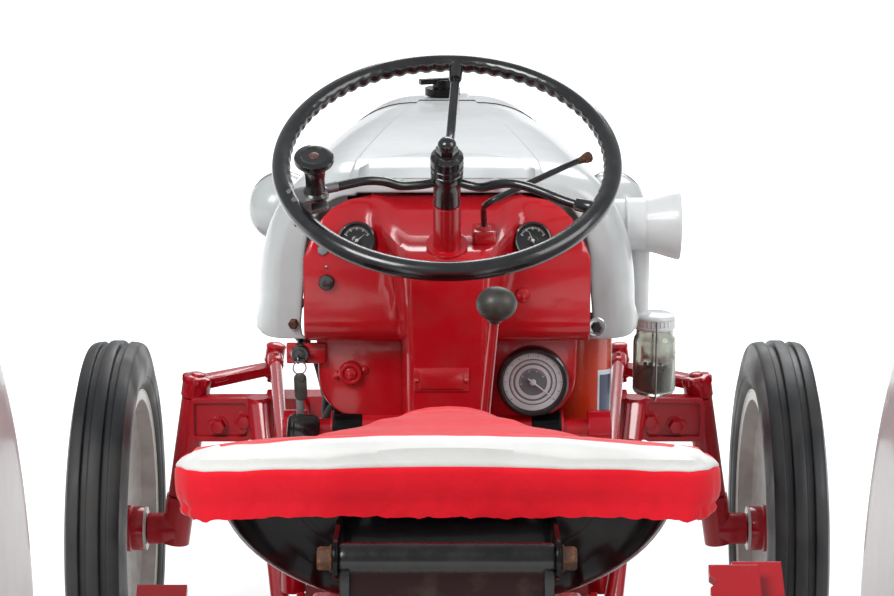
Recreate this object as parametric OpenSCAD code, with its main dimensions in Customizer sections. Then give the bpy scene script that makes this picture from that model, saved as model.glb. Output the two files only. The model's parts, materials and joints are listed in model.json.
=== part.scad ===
// Small two-plough utility tractor, about 1950. Millimetres, +Z up, +Y to the front.
// Lengths along the tractor are counted from the rear axle and shifted once, by placed().

/* [Stance] */
// Distance between the front and rear axles
wheelbase = 1778; // [1740:1:1830]
// Distance between the middles of the rear tyres
rear_tread = 1524; // [1510:1:1580]
// Distance between the middles of the front tyres
front_tread = 1219; // [1205:1:1240]
// How far the hitch reaches behind the rear axle
hitch_reach = 792; // [770:1:830]

/* [Rear wheels] */
// Radius of a rear tyre at its lugs
rear_r = 622; // [616:1:630]
// Width of a rear tyre
rear_w = 276; // [260:1:284]
// Height of the rear lugs
lug_h = 26; // [18:1:32]
// Number of lugs on each side of a rear tyre
lug_count = 22; // [18:1:24]
// Radius of the rear rim at the tyre's bead
rear_bead_r = 356; // [350:1:362]
// Thickness of the rear wheel's disc
rear_disc_t = 8; // [6:1:12]

/* [Front wheels] */
// Radius of a front tyre at its middle rib
front_r = 349; // [344:1:354]
// Width of a front tyre
front_w = 108; // [100:1:114]
// Radius of the front rim at the tyre's bead
front_bead_r = 243; // [238:1:247]
// Thickness of the front wheel's disc
front_disc_t = 6; // [4:1:8]

/* [Front axle] */
// Height of the axle beam's middle
axle_z = 574; // [566:1:578]
// Height of the axle beam
beam_h = 78; // [70:1:86]
// Half distance between the kingpins at their tops
kingpin_x = 455; // [448:1:462]
// Height of the kingpin caps
kingpin_z = 641; // [636:1:646]
// Lean of the kingpins
kingpin_lean = 9; // [7:0.5:10]
// Diameter of the kingpin
kingpin_d = 32; // [28:1:34]
// Diameter of the stub axle
stub_d = 34; // [30:1:36]

/* [Hood] */
// Thickness of the sheet metal
sheet = 3; // [2:0.5:4]
// Half width of the hood at its widest
hood_w = 268; // [260:1:276]
// Height of the hood's top at the rear
hood_z = 1219; // [1210:1:1228]
// Width of a slot in the grille
slot_w = 9; // [7:0.5:10]
// Distance between slots in the grille
slot_pitch = 17; // [16:0.5:19]

/* [Steering] */
// Diameter of the steering wheel's rim at its tube
wheel_d = 432; // [420:1:440]
// Diameter of the rim's tube
rim_d = 25; // [22:1:27]
// Height of the steering wheel's middle
wheel_z = 1263; // [1257:1:1268]
// Lean of the steering column
column_lean = 28; // [26:0.5:30]
// Diameter of the column's tube
column_d = 38; // [34:1:42]

/* [Seat] */
// Diameter of the seat's hinge barrel
barrel_d = 31; // [28:1:34]

/* [Fenders] */
// Half distance between the fenders
fender_x = 560; // [552:1:568]
// Clearance between the rear tyres and the fenders
fender_gap = 66; // [60:1:74]
// Width of a fender's top
fender_w = 285; // [270:1:300]

/* [Hitch] */
// Diameter of the holes in the lower links
link_bore = 22.2; // [21.8:0.1:22.6]
// Diameter of the top link's hole
top_bore = 19.2; // [19:0.1:19.6]
// Diameter of the power shaft
pto_d = 28.6; // [28.4:0.1:28.9]

/* [Hidden] */
$fn = 48;

// Clearance round pins and shafts, and the gap between sheets that don't touch
fit = 0.3;
gap = 0.5;

// The model's box is centred on the origin, from the hitch to the front tyres
front_end = wheelbase + front_r;
frame_y = -(front_end - hitch_reach) / 2;

module placed() translate([0, frame_y, 0]) children();
module left_side() mirror([1, 0, 0]) children();
module both_sides() {
    children();
    mirror([1, 0, 0]) children();
}

// A round bar from p to q
module bar(p, q, d) {
    v = q - p;
    len_v = norm(v);
    translate(p)
        rotate([0, acos(v[2] / len_v), atan2(v[1], v[0])])
            cylinder(h = len_v, d = d);
}

// A cylinder along X whose middle is at p
module disc_x(p, d, w) translate(p) rotate([0, 90, 0]) cylinder(h = w, d = d, center = true);

// A cylinder along Y that starts at p
module disc_y(p, d, w) translate(p) rotate([-90, 0, 0]) cylinder(h = w, d = d);

// A box from corner a to corner b
module block(a, b) translate(a) cube(b - a);

// A box with rounded edges along Y, from corner a to corner b
module soft_block(a, b, r) {
    size = b - a;
    translate([a[0], b[1], a[2]]) rotate([90, 0, 0]) linear_extrude(size[1])
        translate([r, r]) offset(r) square([size[0] - 2 * r, size[2] - 2 * r]);
}

// A solid through closed rings of equal count
module loft(rings) {
    n = len(rings[0]);
    m = len(rings);
    points = [for (ring = rings) each ring];
    sides = [for (i = [0 : m - 2], j = [0 : n - 1])
        let (a = i * n + j, b = i * n + (j + 1) % n)
        each [[a, b, a + n], [b, b + n, a + n]]];
    first = [for (j = [n - 1 : -1 : 0]) j];
    last = [for (j = [0 : n - 1]) (m - 1) * n + j];
    polyhedron(points, concat(sides, [first, last]));
}

// Rear tyre: each row is a half width and the radius there
rear_half = rear_w / 2;
carcass_r = rear_r - lug_h;
rear_section = [[0, carcass_r], [60, carcass_r - 3], [105, carcass_r - 14],
    [rear_half - 8, carcass_r - 42], [rear_half, carcass_r - 95], [rear_half - 4, carcass_r - 155],
    [rear_half - 16, rear_bead_r + 38], [rear_half - 26, rear_bead_r + 22], [rear_half - 26, rear_bead_r]];

// Lugs on one side: bars laid slantwise round the tyre and cut by the tread's outline.
// Each row of the outline is a place across the tyre and the radius there.
lug_rows = [[2, carcass_r - 40], [2, rear_r], [26, rear_r], [62, rear_r - 3], [108, rear_r - 13],
    [rear_half - 4, rear_r - 50], [rear_half - 7, carcass_r - 88], [100, carcass_r - 70]];
lug_wide = 33;
lug_skew = 43;

module mirrored_section(rows) {
    polygon(concat([for (row = rows) [row[1], row[0]]],
        [for (i = [len(rows) - 1 : -1 : 1]) [rows[i][1], -rows[i][0]]]));
}

module lugs(phase) intersection() {
    for (i = [0 : lug_count - 1]) rotate([phase + i * 360 / lug_count, 0, 0])
        translate([0, 0, -rear_r - 20]) rotate([0, 0, lug_skew]) translate([-30, -lug_wide / 2, 0])
            cube([240, lug_wide, 150]);
    rotate([0, 90, 0]) rotate_extrude($fn = 96) polygon([for (row = lug_rows) [row[1], row[0]]]);
}
module rear_tyre_right() color("#242424") placed() translate([rear_tread / 2, 0, rear_r]) {
    rotate([0, 90, 0]) rotate_extrude($fn = 96) mirrored_section(rear_section);
    lugs(0);
    mirror([1, 0, 0]) lugs(180 / lug_count);
}
module rear_tyre_left() left_side() rear_tyre_right();

// Rear wheel: a rim that lies under the tyre's bead, a dished disc and the hub with its drum.
// Axial places are counted from the tyre's middle, outward.
rear_seat_r = rear_bead_r - fit;
rim_half = rear_half - 25.5;
disc_x0 = 26;
drum_x0 = -66;
drum_r = 178;
axle_d = 70;
plate_x0 = drum_x0 - 8;
module rear_wheel_right() color("#cfd0cc") placed() translate([rear_tread / 2, 0, rear_r]) rotate([0, 90, 0]) {
    rotate_extrude($fn = 96) polygon([[rear_bead_r + 20, -rim_half - 8], [rear_bead_r + 20, -rim_half],
        [rear_seat_r, -rim_half], [rear_seat_r, -60], [rear_seat_r - 30, -48], [rear_seat_r - 30, 34],
        [rear_seat_r, 46], [rear_seat_r, rim_half], [rear_bead_r + 20, rim_half], [rear_bead_r + 20, rim_half + 8],
        [rear_seat_r - 6, rim_half + 8], [rear_seat_r - 6, 52], [rear_seat_r - 36, 40], [rear_seat_r - 36, disc_x0 + 4],
        [250, disc_x0 - 22], [190, disc_x0 - 22], [160, disc_x0 + rear_disc_t], [60, disc_x0 + rear_disc_t],
        [60, disc_x0], [155, disc_x0], [185, disc_x0 - 22 - rear_disc_t], [252, disc_x0 - 22 - rear_disc_t],
        [rear_seat_r - 38, disc_x0 - 4], [rear_seat_r - 36, -54], [rear_seat_r - 6, -66], [rear_seat_r - 6, -rim_half - 8]]);
    translate([0, 0, drum_x0]) difference() {
        cylinder(h = disc_x0 - drum_x0 - 20, r = drum_r - 34, $fn = 64);
        translate([0, 0, -1]) cylinder(h = 40, r = drum_r - 44, $fn = 64);
    }
    translate([0, 0, -200]) cylinder(h = disc_x0 + 200 + 22, d = axle_d);
    cylinder(h = disc_x0 + rear_disc_t + 6, r = 84);
    for (i = [0 : 7]) rotate([0, 0, i * 45]) translate([110, 0, disc_x0 - 30])
        cylinder(h = 30 + rear_disc_t + 16, d = 19, $fn = 24);
}
module rear_wheel_left() left_side() rear_wheel_right();

// Front tyre with three ribs round its tread
front_half = front_w / 2;
front_section = [[0, front_r], [11, front_r], [13, front_r - 9], [23, front_r - 10], [25, front_r - 2.5],
    [44, front_r - 6], [47, front_r - 16], [front_half, front_r - 46], [front_half - 3, front_r - 70],
    [front_half - 14, front_bead_r + 26], [front_half - 17, front_bead_r + 16],
    [front_half - 17, front_bead_r]];
module front_tyre_right() color("#242424") placed() translate([front_tread / 2, wheelbase, front_r])
    rotate([0, 90, 0]) rotate_extrude($fn = 96) mirrored_section(front_section);
module front_tyre_left() left_side() front_tyre_right();

// Front wheel: rim, dished disc and the hub, with a bore for the stub axle
front_seat_r = front_bead_r - fit;
front_rim = front_half - 16.5;
hub_r = 40;
hub_in = -54;
hub_out = 44;
module front_wheel_right() color("#c9cbc6") placed() translate([front_tread / 2, wheelbase, front_r]) rotate([0, 90, 0])
    difference() {
        union() {
            rotate_extrude($fn = 96) polygon([[front_bead_r + 15, -front_rim - 5], [front_bead_r + 15, -front_rim],
                [front_seat_r, -front_rim], [front_seat_r, -12], [front_seat_r - 18, -6], [front_seat_r - 18, 14],
                [front_seat_r, 20], [front_seat_r, front_rim], [front_bead_r + 15, front_rim],
                [front_bead_r + 15, front_rim + 5], [front_seat_r - 4, front_rim + 5], [front_seat_r - 4, 24],
                [front_seat_r - 22, 18], [150, 6 + front_disc_t], [95, 16 + front_disc_t], [30, 16 + front_disc_t],
                [30, 16], [94, 16], [149, 6], [front_seat_r - 22, -9], [front_seat_r - 4, -16],
                [front_seat_r - 4, -front_rim - 5]]);
            translate([0, 0, hub_in]) cylinder(h = 20 - hub_in, r = hub_r);
            translate([0, 0, 8]) cylinder(h = 8, r = 76);
            cylinder(h = hub_out, r = 33);
            for (i = [0 : 5]) rotate([0, 0, i * 60]) translate([60, 0, 10]) cylinder(h = 24, d = 16, $fn = 24);
        }
        translate([0, 0, hub_in - 1]) cylinder(h = hub_out - hub_in - 9, d = stub_d + 2 * fit);
    }
module front_wheel_left() left_side() front_wheel_right();

// Kingpin: its axis leans in at the top. A point on it is a height above the wheel's centre.
kingpin_base_x = kingpin_x + (kingpin_z - front_r) * tan(kingpin_lean);
function on_kingpin(z) = [kingpin_x + (kingpin_z - z) * tan(kingpin_lean), wheelbase, z];
kingpin_dir = [-sin(kingpin_lean), 0, cos(kingpin_lean)];
arm_end = [kingpin_x - 130, wheelbase + 104, kingpin_z - 12];
ball_pin_d = 18;
tube_d = kingpin_d + 16;
tube_top = kingpin_z - 40;
tube_low = front_r + 66;
module knuckle_right() color("#b01822") placed() {
    bar(on_kingpin(front_r + 10), on_kingpin(kingpin_z - 6), kingpin_d);
    bar(on_kingpin(front_r - 26), on_kingpin(tube_low - 2), 54);
    bar(on_kingpin(tube_top + 2), on_kingpin(kingpin_z), 50);
    disc_x([(kingpin_base_x + front_tread / 2 + hub_in - 2) / 2, wheelbase, front_r],
        58, front_tread / 2 + hub_in - 2 - kingpin_base_x);
    translate([kingpin_base_x, wheelbase, front_r]) rotate([0, 90, 0])
        cylinder(h = front_tread / 2 + hub_out - 12 - kingpin_base_x, d = stub_d);
    hull() {
        translate(on_kingpin(kingpin_z - 12)) cylinder(h = 18, d = 40, center = true, $fn = 24);
        translate(arm_end) cylinder(h = 16, d = 34, center = true, $fn = 24);
    }
    bar(arm_end, arm_end + 22 * kingpin_dir, ball_pin_d);
    bar(arm_end - 20 * kingpin_dir, arm_end, 14);
}
module knuckle_left() left_side() knuckle_right();

// Steering gear and linkage. The linkage is open where the drag link's rear socket hangs
// below the pitman arm.
column_dir = [0, -sin(column_lean), cos(column_lean)];
wheel_c = [0, 600, wheel_z];
function on_column(t) = wheel_c - t * column_dir;
sector = [0, 804, 836];
arm_x = 222;
arm_drop = 182;
pitman_end = [arm_x, sector[1], sector[2] - arm_drop];
link_front = arm_end + 26 * kingpin_dir;
link_rear = pitman_end - [0, 0, 46];
module drag_link_right() color("#b01822") placed() {
    difference() {
        union() {
            bar(link_front, link_rear, 22);
            bar(link_front - 14 * kingpin_dir, link_front + 18 * kingpin_dir, 36);
        }
        bar(link_front - 20 * kingpin_dir, link_front + 6 * kingpin_dir, ball_pin_d + 2 * fit);
    }
    translate(link_rear - [0, 0, 14]) cylinder(h = 30, d = 36);
}
module drag_link_left() left_side() drag_link_right();

module pitman_arm_right() color("#b01822") placed() difference() {
    union() {
        hull() {
            disc_x([arm_x, sector[1], sector[2]], 52, 20);
            disc_x(pitman_end, 30, 20);
        }
        disc_x([arm_x - 6, sector[1], sector[2]], 58, 32);
        translate(pitman_end - [0, 0, 20]) cylinder(h = 16, d = 22);
    }
    disc_x([arm_x, sector[1], sector[2]], 34 + 2 * fit, 60);
}
module pitman_arm_left() left_side() pitman_arm_right();

module steering_wheel() color("#151515") placed() translate(wheel_c) rotate([column_lean, 0, 0]) {
    rotate_extrude($fn = 96) translate([wheel_d / 2, 0]) circle(d = rim_d, $fn = 32);
    difference() {
        union() {
            translate([0, 0, -66]) cylinder(h = 62, d = 46);
            translate([0, 0, -8]) cylinder(h = 24, d = 54);
            translate([0, 0, 16]) cylinder(h = 10, d = 32);
            translate([0, 0, 24]) sphere(d = 30);
        }
        translate([0, 0, -67]) cylinder(h = 60, d = 22 + 2 * fit);
    }
    for (a = [87, 199, 333]) rotate([0, 0, a]) {
        bar([18, 0, -28], [52, 0, -27], 13);
        bar([52, 0, -27], [100, 0, -2], 13);
        bar([100, 0, -2], [wheel_d / 2, 0, 0], 13);
        bar([wheel_d / 2 - 30, 0, 0], [wheel_d / 2 - 2, 0, 0], 18);
        translate([52, 0, -27]) sphere(d = 15);
        translate([100, 0, -2]) sphere(d = 15);
    }
    rotate([0, 0, 203]) translate([wheel_d / 2 - 33, 0, 0]) {
        translate([0, 0, 8]) cylinder(h = 46, d = 28);
        translate([0, 0, 54]) cylinder(h = 12, d1 = 34, d2 = 52);
        translate([0, 0, 66]) cylinder(h = 8, d1 = 52, d2 = 40);
        block([-16, -15, -15], [34, 15, 10]);
    }
}

// Seat: a pressed pan, the padded cover over it and the hinge barrel behind
hinge = [0, -330, 1053];
barrel_len = 208;
pin_d = 16;
ear_x = barrel_len / 2 + fit;
ear_t = 5;
// Pan: each row is a place along the seat, the half width, the edge's height and the depth
pan_rows = [[-250, 184, 1082, 96], [-225, 217, 1082, 122], [-180, 232, 1078, 134], [-110, 211, 1066, 130],
    [-60, 182, 1056, 122], [0, 144, 1048, 108], [80, 82, 1042, 84], [150, 40, 1036, 60], [168, 24, 1034, 52]];
arc_steps = 12;
pan_t = 6;
function pan_ring(row, grow) = [for (i = [0 : arc_steps]) let (a = 180 + i * 180 / arc_steps)
    [(row[1] + grow) * cos(a), row[0], row[2] + (row[3] + grow) * sin(a)]];
function pan_inner(i) = let (row = pan_rows[i])
    [row[0] + (i == 0 ? pan_t : i == len(pan_rows) - 1 ? -pan_t : 0), row[1], row[2] + 1, row[3]];
module seat_pan() color("#141414") placed() {
    difference() {
        loft([for (row = pan_rows) pan_ring(row, 0)]);
        loft([for (i = [0 : len(pan_rows) - 1]) pan_ring(pan_inner(i), -pan_t)]);
    }
    both_sides() difference() {
        hull() {
            translate([ear_x, hinge[1], hinge[2]]) rotate([0, 90, 0]) cylinder(h = ear_t, d = 40, $fn = 32);
            translate([ear_x, -262, 1006]) cube([ear_t, 15, 60]);
        }
        disc_x(hinge + [ear_x, 0, 0], pin_d + 2 * fit, 40);
    }
}
// Cover: each row is a place along the seat, the half width, the height in the middle, the
// height at the side and the lower edge. It rests on the pan's edge and hangs round it.
cover_rows = [[-257, 219, 1145, 1130, 1078], [-238, 258, 1147, 1126, 1064], [-185, 274, 1133, 1114, 1054],
    [-110, 247, 1099, 1094, 1048], [-60, 209, 1083, 1080, 1040], [0, 162, 1075, 1072, 1034],
    [80, 98, 1067, 1064, 1028], [150, 54, 1059, 1056, 1022], [177, 34, 1054, 1051, 1026]];
function cover_ring(row) = let (w = row[1], m = row[2], t = row[3], b = row[4])
    [[-w + 12, row[0], b], [-w + 2, row[0], b + 10], [-w, row[0], t - 16], [-w + 6, row[0], t - 4],
    [-w + 18, row[0], t], [-w * 0.5, row[0], (m + t) / 2 + 1], [0, row[0], m], [w * 0.5, row[0], (m + t) / 2 + 1],
    [w - 18, row[0], t], [w - 6, row[0], t - 4], [w, row[0], t - 16], [w - 2, row[0], b + 10], [w - 12, row[0], b]];
function pan_cut(i) = let (row = pan_rows[i])
    [row[0] + (i == 0 ? -gap : i == len(pan_rows) - 1 ? gap : 0), row[1], row[2] + fit, row[3]];
module seat_cover() color("#c8202c") placed() difference() {
    loft([for (row = cover_rows) cover_ring(row)]);
    loft([for (i = [0 : len(pan_rows) - 1]) pan_ring(pan_cut(i), gap)]);
}

module seat_support() color("#b01822") placed() {
    both_sides() hull() {
        block([138, -300, 868], [146, -40, 890]);
        block([138, -340, 985], [146, -312, 1010]);
    }
    block([-150, -230, 868], [150, 40, 880]);
    block([-146, -340, 988], [146, -332, 1006]);
    hull() {
        block([-96, -340, 990], [96, -334, 1004]);
        disc_x(hinge + [0, 0, -8], 8, 192);
    }
    disc_x(hinge, barrel_d, barrel_len);
    disc_x(hinge, pin_d, barrel_len + 2 * (ear_t + 3));
    both_sides() disc_x(hinge + [ear_x + ear_t + 6 + fit, 0, 0], 27, 12);
}

// Front axle: middle beam, extensions and the tubes that hold the kingpins
module front_axle() color("#b01822") placed() difference() {
    union() {
        block([-330, wheelbase - 24, axle_z - 36], [330, wheelbase + 24, axle_z + 36]);
        disc_y([0, wheelbase - 70, axle_z], 92, 140);
        both_sides() {
            bar(on_kingpin(tube_low), on_kingpin(tube_top), tube_d);
            soft_block([250, wheelbase - 48, axle_z - beam_h / 2],
                [kingpin_x + 6, wheelbase - 16, axle_z + beam_h / 2], 26);
            for (x = [300, 373, 422]) disc_y([x, wheelbase - 60, axle_z - 12], 25, 14);
        }
    }
    disc_y([0, wheelbase - 90, axle_z], 44 + 2 * fit, 180);
    both_sides() {
        bar(on_kingpin(tube_low - 20), on_kingpin(tube_top + 20), kingpin_d + 2 * fit);
        bar(on_kingpin(tube_top + 1), on_kingpin(kingpin_z + 6), 60);
    }
}

rod_front = [340, wheelbase - 67.3, axle_z + 30];
rod_rear = [199.3, 560, 404];
module radius_rods() color("#b01822") placed() both_sides() {
    bar(rod_front, rod_rear, 30);
    bar(rod_front, rod_front + (rod_rear - rod_front) * 0.14, 36);
    translate(rod_front - [0, 0, 34]) cylinder(h = 52, d = 38);
    translate(rod_rear) sphere(d = 46);
}

module front_support() color("#b01822") placed() {
    block([-130, wheelbase - 130, 650], [130, wheelbase + 110, 690]);
    block([-118, wheelbase - 116, axle_z - 30], [118, wheelbase - 74, 650.5]);
    block([-118, wheelbase + 74, axle_z - 30], [118, wheelbase + 108, 650.5]);
    disc_y([0, wheelbase - 120, axle_z], 44, 234);
    both_sides() block([92, 1380, 560], [128, wheelbase - 100, 640]);
    block([-128, wheelbase - 140, 560], [128, wheelbase - 112, 668]);
    translate([0, 0, grille_z - 10]) linear_extrude(10) polygon(concat(
        [for (row = nose_rows) [row[1] - 3, row[0]]],
        [for (i = [len(nose_rows) - 1 : -1 : 0]) [-nose_rows[i][1] + 3, nose_rows[i][0]]]));
}

// Engine: block, head with its plugs, sump, front cover and belt pulley
engine_y0 = 880;
engine_y1 = 1380;
module engine() color("#a81620") placed() {
    block([-118, engine_y0, 500], [118, engine_y1, 822]);
    soft_block([-108, engine_y0 + 12, 822], [108, engine_y1 - 12, 880], 10);
    for (i = [0 : 3]) translate([26, engine_y0 + 92 + i * 112, 878]) {
        cylinder(h = 12, d = 26);
        cylinder(h = 52, d = 15);
    }
    for (i = [0 : 4], s = [-1, 1]) translate([s * 84, engine_y0 + 36 + i * 107, 878]) cylinder(h = 14, d = 20, $fn = 6);
    hull() {
        block([-118, engine_y0 + 8, 480], [118, engine_y1 - 8, 501]);
        block([-70, engine_y0 + 60, 392], [70, engine_y1 - 60, 400]);
    }
    block([-90, engine_y1 - 1, 520], [90, engine_y1 + 26, 760]);
    disc_y([0, engine_y1 + 20, 600], 130, 44);
    disc_y([0, engine_y1 - 30, 850], 92, 90);
    disc_y([0, engine_y1 + 50, 850], 30, 70);
    both_sides() block([117, engine_y0 + 60, 560], [128, engine_y1 - 60, 660]);
    disc_y([76, engine_y1 + 20, 716], 104, 36);
}

// Exhaust: manifold, the pipe down and back to the silencer, and the tail pipe
muffler = [-80, 330, 362];
pipe_bend = [-176, engine_y0 + 20, 470];
module exhaust() color("#5a4a42") placed() {
    soft_block([-172, engine_y0 + 70, 742], [-118, engine_y1 - 60, 800], 14);
    for (i = [0 : 3]) block([-150, engine_y0 + 92 + i * 112, 680], [-118, engine_y0 + 128 + i * 112, 750]);
    bar([-150, engine_y0 + 96, 770], pipe_bend, 44);
    translate(pipe_bend) sphere(d = 47);
    bar(pipe_bend, [muffler[0], 705, muffler[2]], 44);
    disc_y(muffler, 104, 375);
    disc_y([muffler[0], -130, muffler[2]], 38, 470);
    block([muffler[0] - 10, 470, 400], [muffler[0] + 10, 490, 447]);
    translate([-168, 1100, 640]) cylinder(h = 84, d = 62);
    translate([-168, 1100, 712]) cylinder(h = 40, d = 44);
    block([-168, 1080, 661], [-118, 1120, 700]);
}

module generator() color("#2b2b2b") placed() {
    disc_y([178, 1140, 720], 112, 230);
    disc_y([178, 1370, 720], 26, 40);
    disc_y([178, 1398, 720], 84, 16);
    block([118, 1180, 690], [150, 1330, 740]);
    disc_y([174, engine_y0, 560], 88, 186);
}

filter_c = [190, 905];
module oil_filter() color("#d8401c") placed() {
    translate([filter_c[0], filter_c[1], 790]) cylinder(h = 175, d = 100);
    translate([filter_c[0], filter_c[1], 782]) cylinder(h = 8, d = 108);
    translate([filter_c[0], filter_c[1], 752]) cylinder(h = 30, d1 = 70, d2 = 98);
    translate([filter_c[0], filter_c[1], 965]) cylinder(h = 7, d = 106);
    block([118, engine_y0 + 5, 740], [170, engine_y0 + 45, 800]);
}

// Radiator on the front support, with its filler neck and cap above the hood
cap_y = 1750;
module radiator() color("#1c1c1c") placed() {
    block([-176, cap_y - 42, grille_z], [176, cap_y + 24, 1042]);
    soft_block([-150, cap_y - 46, 1040], [150, cap_y + 28, 1096], 24);
    translate([-8, cap_y, 1090]) cylinder(h = 76, d = 44);
    translate([-8, cap_y, 1166]) cylinder(h = 12, d = 62);
    translate([-8, cap_y, 1177]) cylinder(h = 16, d = 34);
    translate([-8, cap_y, 1186]) rotate([0, 0, 20]) block([-42, -6, 0], [30, 6, 9]);
}

// Each hose: a stub on the engine, the bend and a stub on the radiator
module hose(start, bend, end, d) {
    bar(start, bend, d);
    translate(start) sphere(d = d + 3);
    translate(bend) sphere(d = d + 3);
    bar(bend, end, d);
}
upper_out = [-20, engine_y1 - 58, 880];
lower_out = [-118, engine_y1 - 30, 640];
module hoses() color("#1a1a1a") placed() {
    translate(upper_out) cylinder(h = 34, d = 50);
    hose(upper_out + [0, 0, 34], [-8, engine_y1 - 18, 962], [0, cap_y - 66, 1066], 46);
    disc_y([0, cap_y - 70, 1066], 52, 24);
    disc_x(lower_out - [12, 0, 0], 46, 24);
    hose(lower_out - [24, 0, 0], [-178, engine_y1 + 60, 690], [-150, cap_y - 56, 760], 40);
    disc_y([-150, cap_y - 62, 760], 46, 20);
}

fan_y = cap_y - 238;
fan_r = 184;
module fan() color("#b01822") placed() translate([0, fan_y, 850]) {
    disc_y([0, -12, 0], 120, 20);
    for (a = [45 : 90 : 315]) rotate([0, a, 0]) translate([50, 0, 0]) rotate([28, 0, 0])
        block([0, -3, -52], [fan_r - 50, 3, 52]);
}

// Gearbox: bell housing, casing and the steering gear's seat
bell_z = 610;
bell_d = 400;
module gearbox() color("#a81620") placed() {
    disc_y([0, 700, bell_z], bell_d, 60);
    disc_y([0, 759, bell_z], bell_d - 28, engine_y0 - 759);
    hull() {
        disc_y([0, 690, bell_z], 340, 12);
        soft_block([-140, 176, 450], [140, 188, 790], 40);
    }
    soft_block([-70, 480, 780], [70, 680, 806], 12);
    both_sides() block([136, 500, 384], [176, 620, 560]);
    both_sides() block([150, 520, 374], [176, 600, 385]);
}

// Rear housing with the lift's cover, its rockshaft bosses and the top link's bracket
rock = [0, -128, 820];
link_pin_d = 22;
link_pin_end = 224;
pto_seat_d = 36;
module rear_housing() color("#a81620") placed() difference() {
    union() {
        soft_block([-165, -176, 470], [165, 176, 772], 50);
        disc_x([0, 0, rear_r], 300, 372);
        soft_block([-138, -190, 760], [138, 176, 868], 24);
        disc_x(rock, 88, 330);
        disc_y([0, -212, 560], 150, 40);
        both_sides() block([22, -262, 700], [40, -176, 788]);
        both_sides() block([150, -96, 372], [186, -20, rear_r - 142]);
        both_sides() disc_x([(150 + link_pin_end) / 2, -58, 404], link_pin_d, link_pin_end - 150);
    }
    disc_x(rock, 56 + 2 * fit, 340);
    disc_x([0, -236, 748], top_bore, 120);
    disc_y([0, -214, 560], pto_seat_d + 2 * fit, 70);
}

module pto_shaft() color("#8a8d90") placed() {
    disc_y([0, -312, 560], pto_d, 92.1);
    disc_y([0, -220, 560], pto_seat_d, 64);
}

// Axle housings from the centre to the brake plates, with the fenders' brackets
housing_end = rear_tread / 2 + plate_x0 - 8;
module axle_housings() color("#a81620") placed() both_sides() difference() {
    union() {
        translate([0, 0, rear_r]) rotate([0, 90, 0]) rotate_extrude() polygon([[0, 186], [138, 186], [138, 204],
            [104, 226], [74, 360], [62, 540], [62, housing_end], [0, housing_end]]);
        disc_x([housing_end + 4, 0, rear_r], 2 * drum_r - 12, 8);
        disc_x([fender_x - 7, 0, rear_r], 200, 14);
        block([fender_x - 14, -30, rear_r], [fender_x, 30, rear_r + 290]);
        block([fender_x - 14, 0, rear_r], [fender_x, 330, rear_r + 60]);
    }
    disc_x([housing_end - 80, 0, rear_r], axle_d + 2 * fit, 200);
}

// Fenders: an inner plate that rolls over into the top and ends in a lip.
// The profile gives distances from the wheel's axis and places across the fender.
fender_r = rear_r + fender_gap;
roll_r = 120;
roll_at = [fender_r + sheet - roll_r, roll_r];
lip = 16;
fender_hub_r = 250;
fender_turn = 151;
module fender_profile() polygon(concat([[fender_hub_r, 0]],
    [for (a = [-90 : 9 : 0]) roll_at + roll_r * [cos(a), sin(a)]],
    [[fender_r + sheet, fender_w], [fender_r - lip, fender_w], [fender_r - lip, fender_w - sheet],
        [fender_r, fender_w - sheet]],
    [for (a = [0 : -9 : -90]) roll_at + (roll_r - sheet) * [cos(a), sin(a)]],
    [[fender_hub_r, sheet]]));
module fenders() color("#d4d5d1") placed() both_sides() translate([fender_x, 0, rear_r])
    rotate([90, 0, 90]) rotate_extrude(angle = fender_turn, $fn = 96) fender_profile();

module footrests() color("#a81620") placed() both_sides() {
    block([176, 400, 430], [520, 600, 440]);
    for (y = [430 : 40 : 590]) block([230, y - 5, 439], [510, y + 5, 446]);
    block([176, 440, 439], [230, 500, 470]);
    block([505, 400, 430], [515, 600, 462]);
}

module pedals() color("#b01822") placed() {
    for (row = [[388, 556, 682], [424, 596, 672], [-388, 570, 648]]) {
        bar([row[0], 522, 505], [row[0], row[1] + 30, row[2] - 30], 20);
        translate([row[0], row[1], row[2]]) rotate([32, 0, 0]) difference() {
            block([-34, -44, -7], [34, 44, 7]);
            translate([-41, -2, -9]) rotate([0, 0, 45]) cube([24, 24, 18]);
        }
    }
    disc_x([318, 522, 500], 30, 260);
    disc_x([-302, 522, 500], 30, 228);
    both_sides() block([176, 505, 446], [200, 539, 517]);
}

// Hand throttle's rod, from its bracket on the pedestal to the ball
throttle = [[50, 700, 1146], [53, 647, 1196], [124, 665, 1229], [189, 696, 1252]];
module levers() color("#a81620") placed() {
    translate([40, 540, 806]) cylinder(h = 16, d1 = 44, d2 = 22);
    bar([40, 540, 812], [60, 438, 1094], 14);
    translate([62, 430, 1115]) sphere(d = 46);
    bar([156, -60, 800], [190, 30, 936], 12);
    translate([190, 30, 940]) sphere(d = 26);
    bar([138.3, -60, 800], [156, -60, 800], 30);
    for (i = [0 : 2]) hull() {
        translate(throttle[i]) sphere(d = 9, $fn = 16);
        translate(throttle[i + 1]) sphere(d = 9, $fn = 16);
    }
    translate(throttle[3]) sphere(d = 15);
    block([34, 684, 1134.3], [66, 740, 1152]);
}

flange_d = 56;
sector_d = 58;
module steering_column() color("#b01822") placed() {
    difference() {
        union() {
            bar(on_column(68), on_column(460), column_d);
            bar(on_column(140), on_column(148), flange_d);
            disc_x([0, sector[1], sector[2]], sector_d, 330);
            block([-110, 740, 750], [110, 868, 850]);
        }
        bar(on_column(60), on_column(140), 22 + 2 * fit);
        disc_y([0, 690, bell_z], bell_d + 2 * fit, 70 + fit);
        disc_y([0, 750, bell_z], bell_d - 28 + 2 * fit, 150);
    }
    bar(on_column(20), on_column(141), 22);
    disc_x([0, sector[1], sector[2]], 34, 2 * arm_x + 24);
}

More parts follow.
